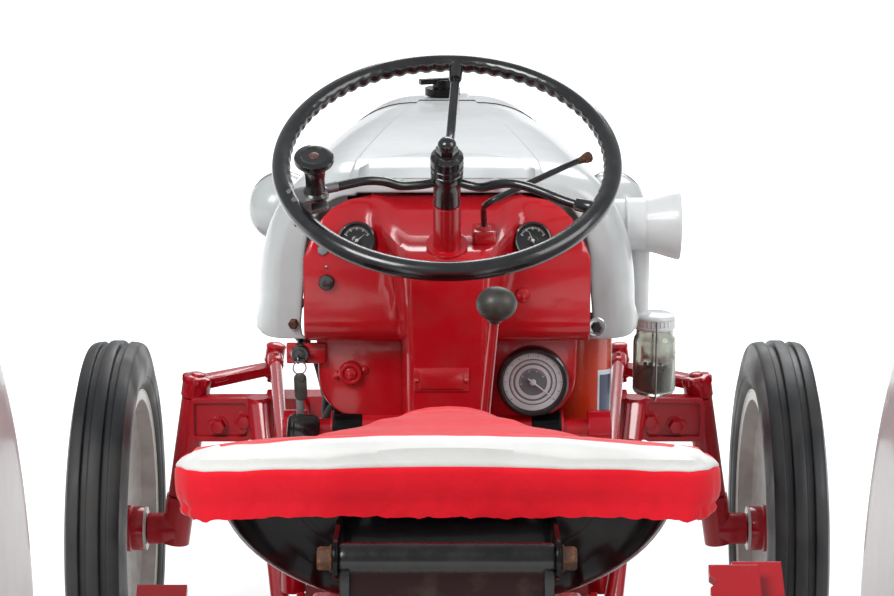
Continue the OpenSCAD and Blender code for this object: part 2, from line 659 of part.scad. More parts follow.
// Dash: upper and lower panels each side of the pedestal round the column
dash_y = 790;
dash_w = 195;
pedestal_w = 60;
module dash() color("#c8141f") placed() difference() {
    union() {
        both_sides() {
            intersection() {
                translate([-1, 0, 0]) rotate([90, 0, 90]) linear_extrude(dash_w + 20) polygon(concat(
                    [[dash_y + 30, 982], [dash_y - 20, 980]],
                    [for (a = [-90 : -15 : -180]) [dash_y - 26 + 24 * cos(a), 1006 + 24 * sin(a)]],
                    [[dash_y - 46, 1090], [dash_y - 30, 1140], [dash_y - 8, 1178], [dash_y + 30, hood_z - 33]]));
                translate([0, dash_y + 40, 0]) rotate([90, 0, 0]) linear_extrude(140)
                    polygon(concat([[pedestal_w - 2, 960]], half_ring(hood_rows[0], sheet + 1),
                        [[pedestal_w - 2, hood_rows[0][2] - sheet - 1]]));
            }
            translate([0, dash_y + 20, 0]) rotate([90, 0, 0]) linear_extrude(20) polygon(concat(
                [[pedestal_w - 2, 990], [dash_w - 10, 990], [dash_w - 16, 930]],
                [for (a = [0 : -15 : -90]) [dash_w - 82 + 62 * cos(a), 918 + 62 * sin(a)]],
                [[pedestal_w - 2, 856]]));
        }
        block([-226, dash_y, 940], [-170, dash_y + 8, 970]);
        rotate([90, 0, 90]) translate([0, 0, -pedestal_w]) linear_extrude(2 * pedestal_w) polygon([[dash_y + 20, 856],
            [700, 812], [668, 850], [640, 1108], [648, 1128], [740, 1134], [dash_y - 8, 1170],
            [dash_y + 20, 1182]]);
    }
    bar(on_column(80), on_column(480), column_d + 2 * fit);
    bar(on_column(120), on_column(150), flange_d + 2 * fit);
    disc_x([0, sector[1], sector[2]], sector_d + 2 * gap, 332);
    block([-112, 738, 738], [112, 870, 852]);
}

// Each row is an upper gauge's place; the other pieces are a start, a diameter and a length
gauges = [[-124, dash_y - 35.9, 1123], [118, dash_y - 35.9, 1123]];
panel_items = [[[121, dash_y - 16, 914], 102, 15.7], [[-136, dash_y - 10, 925], 34, 9.7],
    [[-166, dash_y - 58, 1069], 22, 10.1], [[104, dash_y - 58, 1050], 22, 9.2],
    [[-206, dash_y - 26, 957], 26, 25.7]];
module instruments() color("#1d1d1d") placed() {
    for (place = gauges) translate(place) rotate([72, 0, 0]) cylinder(h = 14, d = 54);
    for (item = panel_items) disc_y(item[0], item[1], item[2]);
}

// Hood and grille share one shell. Each row is a place along the tractor, the half
// width, the top, the height where the side turns upright and the lower edge.
band_front = 36;
band_rear = 132;
split_y = cap_y - 110;
nose_y = cap_y;
nose_len = 198;
nose_z = 1040;
grille_z = 690;
hood_rows = concat([[dash_y - 2, 202, hood_z - 32, 1064, 975], [dash_y + 4, 236, hood_z - 18, 1050, 974],
    [dash_y + 24, 258, hood_z - 6, 1030, 973], [dash_y + 70, hood_w, hood_z, 1010, 970],
    [1200, hood_w - 22, hood_z - 12, 985, 940], [1500, hood_w - 42, hood_z - 34, 965, 908],
    [split_y, hood_w - 54, hood_z - 46, 955, 894], [split_y + 0.5, hood_w - 54, hood_z - 46, 955, grille_z],
    [nose_y, hood_w - 64, hood_z - 58, 950, grille_z]],
    [for (a = [22, 42, 60, 74, 84]) let (c = pow(cos(a), 0.3))
        [nose_y + nose_len * sin(a), (hood_w - 64) * c, hood_z - 58 - 190 * (1 - c), 950 - 60 * (1 - c), grille_z]]);
nose_rows = [for (row = hood_rows) if (row[4] == grille_z) row];
hood_steps = 8;
function band_at(y, w) = min(w * 0.5, band_front + (band_rear - band_front) * max(0, (nose_y - y) / (nose_y - dash_y)));
// The flank bulges above its lower edge, most at the rear
function flare(y) = 6 * max(0, min(1, (1300 - y) / 400));
function half_ring(row, inset) = let (w = row[1] - inset, t = row[2] - inset, b = band_at(row[0], row[1]))
    concat([[w - 2, row[4] - 4 * inset], [w + flare(row[0]), row[4] + 22], [w, row[3]]],
        [for (i = [1 : hood_steps]) let (a = i * 90 / (hood_steps + 0.5))
            [b + 4 + (w - b - 4) * pow(cos(a), 0.85), row[3] + (t - 4 - row[3]) * pow(sin(a), 0.85)]],
        [[b + 4, t - 4], [b, t]]);
function hood_ring(row, inset) = let (half = half_ring(row, inset))
    concat([for (p = half) [p[0], row[0], p[1]]],
        [for (i = [len(half) - 1 : -1 : 0]) [-half[i][0], row[0], half[i][1]]]);
function moved(row, dy) = [row[0] + dy, row[1], row[2], row[3], row[4]];
module shell() difference() {
    loft([for (row = hood_rows) hood_ring(row, 0)]);
    loft([for (i = [0 : len(hood_rows) - 1]) hood_ring(moved(hood_rows[i],
        i == 0 ? -2 : i == len(hood_rows) - 1 ? -sheet : 0), sheet)]);
}
module hood() color("#d4d5d1") placed() difference() {
    shell();
    block([-300, split_y - 1, 600], [300, 2000, nose_z]);
    translate([-8, cap_y, 1100]) cylinder(h = 100, d = 50);
    disc_x([hood_w - 20, pre_y, 1105], 74 + 2 * fit, 120);
}
module grille() color("#d4d5d1") placed() difference() {
    intersection() {
        shell();
        block([-300, split_y + 1, 600], [300, 2000, nose_z - gap]);
    }
    for (s = [-1, 1], i = [0 : 6]) translate([s * (22 + i * slot_pitch) - slot_w / 2, 1850, 730])
        cube([slot_w, 200, 270]);
    for (i = [0 : 4]) translate([-300, split_y + 30 + i * 22, 760]) cube([600, 9, 180]);
}

lamp_c = [284, 1600, 994];
module headlamps() color("#d4d5d1") placed() both_sides() translate(lamp_c) {
    rotate([-90, 0, 0]) rotate_extrude() polygon(concat([[0, -66]],
        [for (a = [15 : 15 : 90]) [57 * sin(a), -62 * cos(a) - 4]], [[58, 14], [58, 34], [54, 38], [54, 33], [0, 30]]));
    rotate([0, -90, 0]) cylinder(h = 67, d = 26);
}

pre_y = 950;
module pre_cleaner() color("#e3e4e2") placed() {
    rotate([0, 90, 0]) translate([-1105, pre_y, 0]) rotate_extrude() polygon([[0, 240], [37, 240],
        [37, 263], [39.5, 267], [39.5, 292], [43, 304], [49, 322], [52, 332], [52, 338], [48, 338], [36, 302], [0, 290]]);
    translate([283, pre_y, 970]) cylinder(h = 112, d = 27);
    translate([306, pre_y, 950]) cylinder(h = 22, d = 60);
}
module dust_jar() color("#b9bcae") placed() translate([306, pre_y, 850]) rotate_extrude() polygon([[0, 0],
    [28, 0], [31.5, 5], [31.5, 80], [27, 90], [27, 99.7], [23, 99.7], [23, 89], [27.5, 79], [27.5, 6], [0, 5]]);

// Hitch: lower links on pins under the rear housing, lift arms on the rockshaft and
// the rods between them, each open at its top eye
link_pin = [204, -58, 404];
link_end = [352, -hitch_reach + 27, 446];
link_mid = link_pin + (link_end - link_pin) * 0.46;
lift_len = 262;
lift_x = 238;
lift_end = [lift_x, rock[1] - lift_len, rock[2] + 20];
rod_x = 238;
eye_drift = 9;
module lower_link_right() color("#a81620") placed() difference() {
    union() {
        hull() {
            disc_x(link_pin, 46, 14);
            disc_x(link_mid, 42, 14);
        }
        hull() {
            disc_x(link_mid, 42, 14);
            disc_x(link_end, 50, 14);
        }
        disc_x(link_end, 54, 34);
        disc_x(link_pin, 54, 20);
        disc_x([(rod_x + link_mid[0]) / 2, link_mid[1], link_mid[2]], 18, link_mid[0] - rod_x + 30);
    }
    disc_x(link_end, link_bore, 60);
    disc_x(link_pin, link_pin_d + 2 * fit, 60);
}
module lower_link_left() left_side() lower_link_right();
module lift_arms() color("#b01822") placed() {
    disc_x(rock, 56, 2 * (lift_x + 34));
    both_sides() {
        hull() {
            disc_x([lift_x + 24, rock[1], rock[2]], 84, 20);
            disc_x(lift_end + [24, 0, 0], 40, 20);
        }
        disc_x(lift_end + [4, 0, 0], 18, 40);
    }
}
// The rod's top eye is wider than its pin by the drift of the open linkage
module lift_rod_right() color("#b01822") placed() difference() {
    union() {
        bar([rod_x, link_mid[1], link_mid[2]], lift_end, 22);
        disc_x([rod_x, link_mid[1], link_mid[2]], 42, 16);
        disc_x(lift_end, 62, 16);
    }
    disc_x([rod_x, link_mid[1], link_mid[2]], 18 + 2 * fit, 40);
    disc_x(lift_end, 18 + 2 * eye_drift, 40);
}
module lift_rod_left() left_side() lift_rod_right();

front_tyre_left();
front_tyre_right();
front_wheel_left();
front_wheel_right();
rear_tyre_left();
rear_tyre_right();
rear_wheel_left();
rear_wheel_right();
knuckle_left();
knuckle_right();
drag_link_left();
drag_link_right();
pitman_arm_left();
pitman_arm_right();
steering_wheel();
seat_pan();
seat_cover();
lower_link_left();
lower_link_right();
lift_arms();
lift_rod_left();
lift_rod_right();
front_axle();
radius_rods();
front_support();
engine();
exhaust();
generator();
oil_filter();
radiator();
hoses();
fan();
gearbox();
rear_housing();
axle_housings();
steering_column();
dash();
instruments();
hood();
grille();
headlamps();
pre_cleaner();
dust_jar();
fenders();
footrests();
pedals();
levers();
seat_support();
pto_shaft();
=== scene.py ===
"""Looks of a small vintage tractor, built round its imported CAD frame.

Metres, +Z up, +Y to the tractor's front. Each section makes the pieces of one area, and
every piece rides on the CAD body that carries it.
"""
import json
from math import copysign, cos, exp, hypot, pi, radians, sin, sqrt, tau

import bmesh
import bpy
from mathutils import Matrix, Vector

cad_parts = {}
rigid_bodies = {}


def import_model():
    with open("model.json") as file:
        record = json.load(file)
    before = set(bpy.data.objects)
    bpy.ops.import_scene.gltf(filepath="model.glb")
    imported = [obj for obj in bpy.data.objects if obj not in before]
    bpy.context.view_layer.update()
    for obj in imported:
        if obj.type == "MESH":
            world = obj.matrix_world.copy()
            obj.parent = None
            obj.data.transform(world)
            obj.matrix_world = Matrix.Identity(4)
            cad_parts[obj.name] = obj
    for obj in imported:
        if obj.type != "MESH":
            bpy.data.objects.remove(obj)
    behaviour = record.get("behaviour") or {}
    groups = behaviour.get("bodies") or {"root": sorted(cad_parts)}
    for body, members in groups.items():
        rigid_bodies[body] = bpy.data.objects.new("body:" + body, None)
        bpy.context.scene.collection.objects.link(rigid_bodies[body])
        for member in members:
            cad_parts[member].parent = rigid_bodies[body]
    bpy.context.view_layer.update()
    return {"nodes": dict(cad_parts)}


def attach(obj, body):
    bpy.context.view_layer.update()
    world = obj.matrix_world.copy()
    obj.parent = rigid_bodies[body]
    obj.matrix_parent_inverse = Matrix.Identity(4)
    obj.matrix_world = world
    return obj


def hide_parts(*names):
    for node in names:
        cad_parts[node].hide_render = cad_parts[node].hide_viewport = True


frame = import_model()
nodes = frame["nodes"]
objects = bpy.context.scene.collection.objects

# Lengths along the tractor are given from the rear axle, as in the part's source
AXLE_Y = -0.6675
RIGHT, AHEAD, UP = Vector((1, 0, 0)), Vector((0, 1, 0)), Vector((0, 0, 1))
BACK = -AHEAD
SIDES = ((-1, "left"), (1, "right"))


def at(x, y, z):
    """A place given in millimetres from the rear axle's middle, on the ground."""
    return Vector((x / 1000, y / 1000 + AXLE_Y, z / 1000))


# Camera at the photograph's place: behind and above the seat
camera_data = bpy.data.cameras.new("camera")
camera_data.lens = 99.7
camera_data.sensor_width = 36
camera_data.clip_end = 100
camera = bpy.data.objects.new("camera", camera_data)
camera.location = at(0, -2578, 1867)
camera.rotation_euler = (radians(90 - 13.9), 0, 0)
objects.link(camera)
bpy.context.scene.camera = camera
bpy.context.scene.view_settings.view_transform = "Standard"


# Materials
def rgb(red, green, blue):
    """A colour read as 0 to 255 screen values, as linear light."""
    def linear(value):
        value /= 255
        return value / 12.92 if value <= 0.04045 else ((value + 0.055) / 1.055) ** 2.4
    return (linear(red), linear(green), linear(blue), 1)


def shaded(colour, share):
    """The same colour at a share of its light."""
    return tuple(share * part for part in colour[:3]) + (1,)


class Look:
    """A node material under construction: the shader, and helpers that add nodes to it."""

    def __init__(self, name, roughness, metallic=0.0, coat=0.0, mirror=0.5):
        self.material = bpy.data.materials.new(name)
        self.material.use_nodes = True
        self.tree = self.material.node_tree
        self.shader = self.tree.nodes["Principled BSDF"]
        self.fill(self.shader, {"Roughness": roughness, "Metallic": metallic, "Specular IOR Level": mirror,
                                "Coat Weight": coat, "Coat Roughness": 0.08})
        self.place = self.node("ShaderNodeTexCoord").outputs["Object"]

    def fill(self, made, sockets):
        """Gives a node's sockets their values or links."""
        for socket, value in sockets.items():
            if isinstance(value, (int, float, tuple)):
                made.inputs[socket].default_value = value
            else:
                self.tree.links.new(value, made.inputs[socket])
        return made

    def node(self, kind, sockets=None, **settings):
        made = self.tree.nodes.new(kind)
        for key, value in settings.items():
            setattr(made, key, value)
        return self.fill(made, sockets or {})

    def noise(self, scale, detail=3.0, distortion=0.0):
        sockets = {"Vector": self.place, "Scale": scale, "Detail": detail, "Distortion": distortion}
        return self.node("ShaderNodeTexNoise", sockets).outputs["Fac"]

    def ramp(self, source, low, high):
        made = self.node("ShaderNodeValToRGB", {"Fac": source})
        made.color_ramp.elements[0].position = low
        made.color_ramp.elements[1].position = high
        return made.outputs["Color"]

    def mix(self, amount, first, second):
        return self.node("ShaderNodeMix", {0: amount, 6: first, 7: second}, data_type="RGBA").outputs[2]

    def math(self, operation, first, second, clamp=False):
        sockets = {0: first, 1: second}
        return self.node("ShaderNodeMath", sockets, operation=operation, use_clamp=clamp).outputs[0]

    def times(self, first, second):
        return self.math("MULTIPLY", first, second)

    def plus(self, first, second, clamp=False):
        return self.math("ADD", first, second, clamp)

    def rounded(self, radius):
        """The surface's normal, with corners rounded to the radius."""
        return self.node("ShaderNodeBevel", {"Radius": radius}, samples=4).outputs[0]

    def corners(self):
        """White where the surface turns a corner within 2 mm."""
        flat = self.node("ShaderNodeNewGeometry").outputs["Normal"]
        dot = self.node("ShaderNodeVectorMath", {0: self.rounded(0.002), 1: flat}, operation="DOT_PRODUCT")
        return self.ramp(self.math("SUBTRACT", 1.0, dot.outputs["Value"]), 0.01, 0.10)

    def bump(self, height, strength, distance, normal=None):
        sockets = {"Height": height, "Strength": strength, "Distance": distance}
        if normal is not None:
            sockets["Normal"] = normal
        return self.node("ShaderNodeBump", sockets).outputs[0]

    def finish(self, colour, roughness=None, normal=None):
        sockets = {"Base Color": colour, "Roughness": roughness, "Normal": normal}
        self.fill(self.shader, {socket: value for socket, value in sockets.items() if value is not None})
        return self.material


PRIMER = (120, 84, 60)


def painted(name, colour, roughness, coat=0.5, dirt=0.25, chips=0.35, under=PRIMER, lumps=0.05, mirror=0.5):
    """Brushed or sprayed paint: faint unevenness, dust in broad patches and worn corners."""
    look = Look(name, roughness, coat=coat, mirror=mirror)
    colour = rgb(*colour)
    fine = look.noise(140.0, 4.0)
    base = look.mix(look.ramp(look.noise(5.0, 5.0), 0.35, 0.75), colour, shaded(colour, 0.80))
    dust = look.ramp(look.times(look.noise(2.2, 8.0), look.noise(30.0, 6.0)), 0.20, 0.42)
    dusty = look.mix(look.times(dust, dirt), base, rgb(118, 106, 92))
    worn = look.times(look.corners(), look.ramp(fine, 0.52, 0.62))
    chipped = look.mix(look.times(worn, chips), dusty, rgb(*under))
    rough = look.plus(look.times(dust, 0.25 * dirt), look.plus(look.times(fine, 0.10), roughness - 0.05))
    peel = look.bump(look.noise(260.0, 2.0), 0.08, 0.0006, look.rounded(0.003))
    return look.finish(chipped, rough, look.bump(look.noise(18.0, 2.0), lumps, 0.004, peel))


def castings(name, colour):
    """Paint over a sand casting: grainy, with oily dark patches low down."""
    look = Look(name, 0.42, coat=0.2, mirror=0.3)
    colour = rgb(*colour)
    grain = look.noise(420.0, 4.0)
    patches = look.ramp(look.noise(7.0, 7.0, distortion=0.6), 0.50, 0.72)
    oily = look.mix(look.times(patches, 0.55), colour, rgb(48, 20, 18))
    base = look.mix(look.times(look.ramp(grain, 0.3, 0.7), 0.25), oily, shaded(colour, 0.6))
    rough = look.math("SUBTRACT", 0.48, look.times(patches, 0.18))
    return look.finish(base, rough, look.bump(grain, 0.25, 0.001, look.rounded(0.004)))


def tyre_rubber(name):
    """Weathered tyre: dark, faintly bluish, with dust in fine streaks and tiny cracks."""
    look = Look(name, 0.55)
    dust = look.ramp(look.noise(9.0, 8.0), 0.42, 0.70)
    crack = look.ramp(look.noise(300.0, 5.0, distortion=0.8), 0.47, 0.53)
    base = look.mix(look.times(dust, 0.5), rgb(28, 29, 32), rgb(78, 76, 72))
    rough = look.plus(0.42, look.times(dust, 0.3))
    return look.finish(base, rough, look.bump(crack, 0.15, 0.0008, look.rounded(0.004)))


def rusty(name, colour=(92, 62, 44)):
    """Bare iron gone brown: mottled, rough and pitted."""
    look = Look(name, 0.75, metallic=0.3)
    blot = look.noise(26.0, 8.0, distortion=0.5)
    base = look.mix(look.ramp(blot, 0.38, 0.66), rgb(*colour), rgb(44, 36, 34))
    scale = look.mix(look.ramp(look.noise(160.0, 5.0), 0.55, 0.72), base, rgb(140, 88, 54))
    return look.finish(scale, None, look.bump(look.noise(220.0, 5.0), 0.4, 0.001, look.rounded(0.002)))


def seat_vinyl(name, colour, shade, mirror=0.5):
    """Coated fabric: a fine weave under a soft sheen, with faint creases."""
    look = Look(name, 0.5, mirror=mirror)
    look.fill(look.shader, {"Sheen Weight": 0.25, "Sheen Roughness": 0.4})
    sockets = {"Vector": look.place, "Scale": 520.0, "Distortion": 0.6}
    along, across = [look.node("ShaderNodeTexWave", sockets, bands_direction=axis).outputs["Fac"]
                     for axis in "XY"]
    weave = look.times(along, across)
    creases = look.noise(22.0, 4.0, distortion=1.4)
    base = look.mix(look.ramp(look.noise(6.0, 5.0), 0.3, 0.8), rgb(*colour), rgb(*shade))
    worn = look.mix(look.times(weave, 0.18), base, rgb(*shade))
    rough = look.plus(0.40, look.times(creases, 0.22))
    return look.finish(worn, rough, look.bump(weave, 0.10, 0.0004, look.bump(creases, 0.28, 0.006)))


def metal(name, colour, roughness):
    """Machined or plated steel with light stains."""
    look = Look(name, roughness, metallic=1.0)
    stain = look.ramp(look.noise(60.0, 6.0), 0.45, 0.75)
    base = look.mix(look.times(stain, 0.5), rgb(*colour), rgb(96, 84, 72))
    rough = look.plus(roughness, look.times(stain, 0.25))
    return look.finish(base, rough, look.bump(look.noise(500.0, 3.0), 0.08, 0.0004))


def moulded(name, colour, roughness, coat, mottled, mirror=0.5):
    """Hard glossy plastic or rubber, slightly uneven."""
    look = Look(name, roughness, coat=coat, mirror=mirror)
    blot = look.ramp(look.noise(40.0, 6.0), 0.4, 0.8)
    base = look.mix(look.times(blot, mottled), rgb(*colour), rgb(96, 92, 88))
    rough = look.plus(roughness, look.times(blot, 0.18))
    return look.finish(base, rough, look.bump(look.noise(180.0, 3.0), 0.06, 0.0006, look.rounded(0.0015)))


def clear_glass(name):
    """Pale greenish glass with a film of dust."""
    look = Look(name, 0.06)
    look.fill(look.shader, {"Transmission Weight": 0.9, "IOR": 1.45})
    film = look.ramp(look.noise(24.0, 6.0), 0.45, 0.8)
    base = look.mix(look.times(film, 0.5), rgb(206, 210, 202), rgb(150, 146, 132))
    return look.finish(base, look.plus(0.04, look.times(film, 0.3)))


# Reds and blacks mirror less, so their colour stays deep in white surroundings
looks = {
    "red": painted("red_paint", (196, 16, 30), 0.22, 0.5, 0.10, 0.4, (40, 26, 22), mirror=0.4),
    "axle_red": painted("axle_red_paint", (184, 10, 30), 0.20, 0.35, 0.08, 0.15, (60, 14, 16), 0.12, 0.3),
    "casting_red": castings("casting_red_paint", (146, 12, 24)),
    "grey": painted("light_grey_paint", (202, 206, 206), 0.30, 0.4, 0.12, 0.3),
    "wheel_grey": painted("wheel_grey_paint", (212, 214, 210), 0.38, 0.2, 0.35, 0.4),
    "black": painted("black_paint", (9, 9, 11), 0.22, 0.1, 0.06, 0.2, (90, 60, 44), 0.25, 0.12),
    "rim_black": moulded("rim_black", (12, 12, 14), 0.2, 0.6, 0.06),
    "knob": moulded("knob_rubber", (52, 52, 46), 0.45, 0.1, 0.5),
    "tyre": tyre_rubber("tyre_rubber"),
    "hose": moulded("hose_rubber", (26, 26, 27), 0.6, 0.0, 0.3),
    "iron": rusty("rusty_iron"),
    "steel": metal("steel", (150, 150, 152), 0.35),
    # The lid's grey is lighter than the hood's: a painted highlight over the cowl
    "lid_highlight_grey": painted("lid_highlight_grey_paint", (216, 220, 220), 0.24, 0.5, 0.08, 0.2),
    "seat_red": seat_vinyl("seat_red", (236, 36, 50), (206, 22, 36), 0.05),
    "seat_white": seat_vinyl("seat_white", (236, 236, 232), (208, 208, 204)),
    "barrel_black": moulded("barrel_black", (12, 12, 13), 0.22, 0.25, 0.1, 0.3),
    "brown_plate": painted("brown_plate", (34, 8, 10), 0.35, 0.0, 0.4, 0.5, (40, 26, 22), mirror=0.15),
    "cream": painted("cream_paint", (228, 222, 204), 0.35, 0.3, 0.3, 0.3),
    "white": painted("white_paint", (232, 234, 234), 0.32, 0.4, 0.10, 0.15),
    "glass": clear_glass("jar_glass"),
    "dust": rusty("dust", (64, 52, 42)),
    "label": moulded("label", (224, 228, 232), 0.45, 0.3, 0.25),
    "label_blue": moulded("label_blue", (30, 44, 84), 0.45, 0.3, 0.25),
    "lens": moulded("lens", (206, 212, 216), 0.08, 1.0, 0.08),
    "red_inset": moulded("red_inset", (84, 40, 38), 0.4, 0.4, 0.3),
    "seam": moulded("seam_shadow", (30, 28, 28), 0.7, 0.0, 0.4),
    "chrome": metal("chrome", (200, 202, 206), 0.12),
    "dial_black": moulded("dial_black", (14, 14, 16), 0.3, 0.8, 0.05),
    "dial_white": moulded("dial_white", (214, 218, 220), 0.45, 0.2, 0.15),
    "dial_grey": moulded("dial_grey", (112, 118, 124), 0.45, 0.2, 0.2),
    "mark_white": moulded("mark_white", (225, 226, 220), 0.5, 0.2, 0.2),
    "filter": painted("orange_paint", (214, 58, 24), 0.25, 0.5, 0.15, 0.2, (40, 26, 22)),
}
# A name that is no node stands for the nodes of that name on both sides
NODE_LOOKS = {
    "red": "steering_column dash levers pedals footrests seat_support fan",
    "axle_red": "knuckle drag_link pitman_arm front_axle radius_rods front_support "
                "lower_link lift_arms lift_rod",
    "casting_red": "engine gearbox rear_housing axle_housings",
    "grey": "hood grille headlamps pre_cleaner fenders",
    "wheel_grey": "front_wheel rear_wheel",
    "black": "generator radiator seat_pan",
    "rim_black": "steering_wheel instruments",
    "tyre": "front_tyre rear_tyre",
    "hose": "hoses",
    "iron": "exhaust",
    "steel": "pto_shaft",
    "filter": "oil_filter",
}
for look_name, members in NODE_LOOKS.items():
    for member in members.split():
        for node_name in [member] if member in nodes else [member + "_left", member + "_right"]:
            mesh = nodes[node_name].data
            mesh.materials.clear()
            mesh.materials.append(looks[look_name])


# Building meshes: places are in millimetres from the rear axle until a piece is made.
# Points nearer than WELD metres are joined, and edges over SHARP degrees stay sharp.
WELD = 0.00004
SHARP = 32
LEAST_RADIUS = 0.02


def off(place, x, y, z):
    return Vector(place) + Vector((x, y, z))


def turns(count, closed=False):
    """Angles evenly round a circle, with the first once more at the end if closed."""
    return [i * tau / count for i in range(count + closed)]


def spun(radius, angle):
    return radius * cos(angle), radius * sin(angle)


def basis(direction):
    """Two directions square to the given one, which make a right-handed set with it."""
    along = Vector(direction).normalized()
    side = RIGHT.copy() if abs(along.z) > 0.999 else along.cross(UP).normalized()
    return side, along.cross(side)


def smooth(points, steps=8):
    """A Catmull-Rom curve through the points."""
    points = [Vector(point) for point in points]
    out = []
    for i in range(len(points) - 1):
        a, b, c, d = points[max(i - 1, 0)], points[i], points[i + 1], points[min(i + 2, len(points) - 1)]
        for step in range(steps):
            t = step / steps
            out.append(0.5 * (2 * b + (c - a) * t + (2 * a - 5 * b + 4 * c - d) * t ** 2
                              + (3 * b - a - 3 * c + d) * t ** 3))
    return out + [points[-1]]


def arc(middle, radius, first, last, steps=6):
    """Points on an arc, by angles in degrees."""
    angles = [radians(first + (last - first) * i / steps) for i in range(steps + 1)]
    return [(middle[0] + radius * cos(a), middle[1] + radius * sin(a)) for a in angles]


def rounded(width, height, corner, steps=5):
    """A rectangle's outline with round corners, anticlockwise, about its middle."""
    out = []
    for quarter, (sx, sy) in enumerate(((1, 1), (-1, 1), (-1, -1), (1, -1))):
        middle = (sx * (width / 2 - corner), sy * (height / 2 - corner))
        out += arc(middle, corner, 90 * quarter, 90 * quarter + 90, steps)
    return out


def inset(outline, distance):
    """An anticlockwise outline moved inward."""
    out = []
    for i, (bx, by) in enumerate(outline):
        ax, ay = outline[i - 1]
        cx, cy = outline[(i + 1) % len(outline)]
        before, after = hypot(bx - ax, by - ay), hypot(cx - bx, cy - by)
        nx = (ay - by) / before + (by - cy) / after
        ny = (bx - ax) / before + (cx - bx) / after
        reach = 2 * distance / max(nx * nx + ny * ny, 0.5)
        out.append((bx + nx * reach, by + ny * reach))
    return out


class Form:
    """Points and faces gathered part by part. Each face keeps the number of its look."""

    def __init__(self):
        self.points, self.faces, self.numbers = [], [], []

    def add(self, points, faces, look=0):
        first = len(self.points)
        self.points += [Vector(point) for point in points]
        self.faces += [tuple(first + i for i in face) for face in faces]
        self.numbers += [look] * len(faces)

    def loft(self, rings, look=0, closed=True, ends=True):
        n = len(rings[0])
        faces = [(i * n + j, i * n + (j + 1) % n, (i + 1) * n + (j + 1) % n, (i + 1) * n + j)
            for i in range(len(rings) - 1) for j in range(n if closed else n - 1)]
        if ends:
            faces += [tuple(range(n - 1, -1, -1)), tuple(range((len(rings) - 1) * n, len(rings) * n))]
        self.add([point for ring in rings for point in ring], faces, look)

    def raised(self, place, across, upward, outline, rows, look, ends=True):
        """Rings of a flat outline: rows of how far each is moved inward and how far out it lies."""
        across, upward = Vector(across).normalized(), Vector(upward).normalized()
        out = across.cross(upward)
        rings = [[Vector(place) + x * across + y * upward + far * out for x, y in inset(outline, moved)]
                 for moved, far in rows]
        self.loft(rings, look, ends=ends)

    def turned(self, start, direction, profile, look=0, steps=40, ends=True):
        """Rows of (radius, distance) turned round an axis."""
        along = Vector(direction).normalized()
        side, up = basis(along)
        rings = []
        for radius, far in profile:
            size = max(radius, LEAST_RADIUS)
            middle = Vector(start) + along * far
            rings.append([middle + size * (cos(a) * side + sin(a) * up) for a in turns(steps)])
        self.loft(rings, look, ends=ends)

    def tube(self, path, radius, look=0, steps=14, flat=1.0):
        """A bar along a path, with one radius or one for each point."""
        path = [Vector(point) for point in path]
        radii = radius if isinstance(radius, (list, tuple)) else [radius] * len(path)
        ahead = (path[1] - path[0]).normalized()
        side, up = basis(ahead)
        rings = []
        for i, (point, size) in enumerate(zip(path, radii)):
            turned = (path[min(i + 1, len(path) - 1)] - path[max(i - 1, 0)]).normalized()
            change = ahead.rotation_difference(turned)
            side.rotate(change)
            up.rotate(change)
            ahead = turned
            rings.append([point + size * (cos(a) * side + flat * sin(a) * up) for a in turns(steps)])
        self.loft(rings, look)

    def plate(self, place, across, upward, outline, depth, look=0, rim=1.5):
        """A flat anticlockwise outline raised by a depth, with rounded rims."""
        rows = [(rim, 0), (0.3 * rim, 0.3 * rim), (0, rim), (0, depth - rim),
                (0.3 * rim, depth - 0.3 * rim), (rim, depth)]
        self.raised(place, across, upward, outline, rows, look)

    def slab(self, low, high, look=0, rim=1.5, corner=3):
        """A box between two corners, with rounded edges."""
        low, high = Vector(low), Vector(high)
        size = high - low
        corner = min(corner, size.x / 2.2, size.y / 2.2)
        middle = ((low.x + high.x) / 2, (low.y + high.y) / 2, low.z)
        outline = rounded(size.x, size.y, corner)
        self.plate(middle, RIGHT, AHEAD, outline, size.z, look, min(rim, size.z / 2.2))

    def bolt(self, place, direction, size, look=0, washer=0):
        """A hexagon head, its size across the flats, on a washer of the given radius."""
        thick = 0.12 * size if washer else 0
        if washer:
            rows = [(washer, -1), (washer, thick * 0.7), (washer - 0.6, thick)]
            self.turned(place, direction, rows, look, 24)
        corner = size / sqrt(3)
        rows = [(corner, thick - 1), (corner, thick + 0.5 * size), (corner * 0.86, thick + 0.62 * size),
                (0, thick + 0.64 * size)]
        self.turned(place, direction, rows, look, 6)

    def ball(self, middle, radii, look=0, steps=24):
        """An ellipsoid with the given radii along X, Y and Z."""
        rings = []
        for i in range(steps // 2 + 1):
            a = pi * i / (steps // 2)
            wide = max(sin(a), 0.001)
            rings.append([off(middle, wide * radii[0] * cos(b), wide * radii[1] * sin(b), -radii[2] * cos(a))
                          for b in turns(steps)])
        self.loft(rings, look)

    def mirrored(self):
        """Adds the same parts on the other side of the tractor."""
        half = len(self.points)
        self.points += [Vector((-p.x, p.y, p.z)) for p in self.points]
        self.faces += [tuple(half + i for i in reversed(face)) for face in self.faces]
        self.numbers += self.numbers


def mesh_of(name, form, weld=0.0):
    """The form as a mesh in metres, its faces turned outward and near points joined."""
    mesh = bpy.data.meshes.new(name)
    mesh.from_pydata([at(*point) for point in form.points], [], form.faces)
    mesh.polygons.foreach_set("material_index", form.numbers)
    work = bmesh.new()
    work.from_mesh(mesh)
    if weld:
        bmesh.ops.remove_doubles(work, verts=work.verts, dist=weld)
    bmesh.ops.recalc_face_normals(work, faces=work.faces)
    work.to_mesh(mesh)
    work.free()
    return mesh


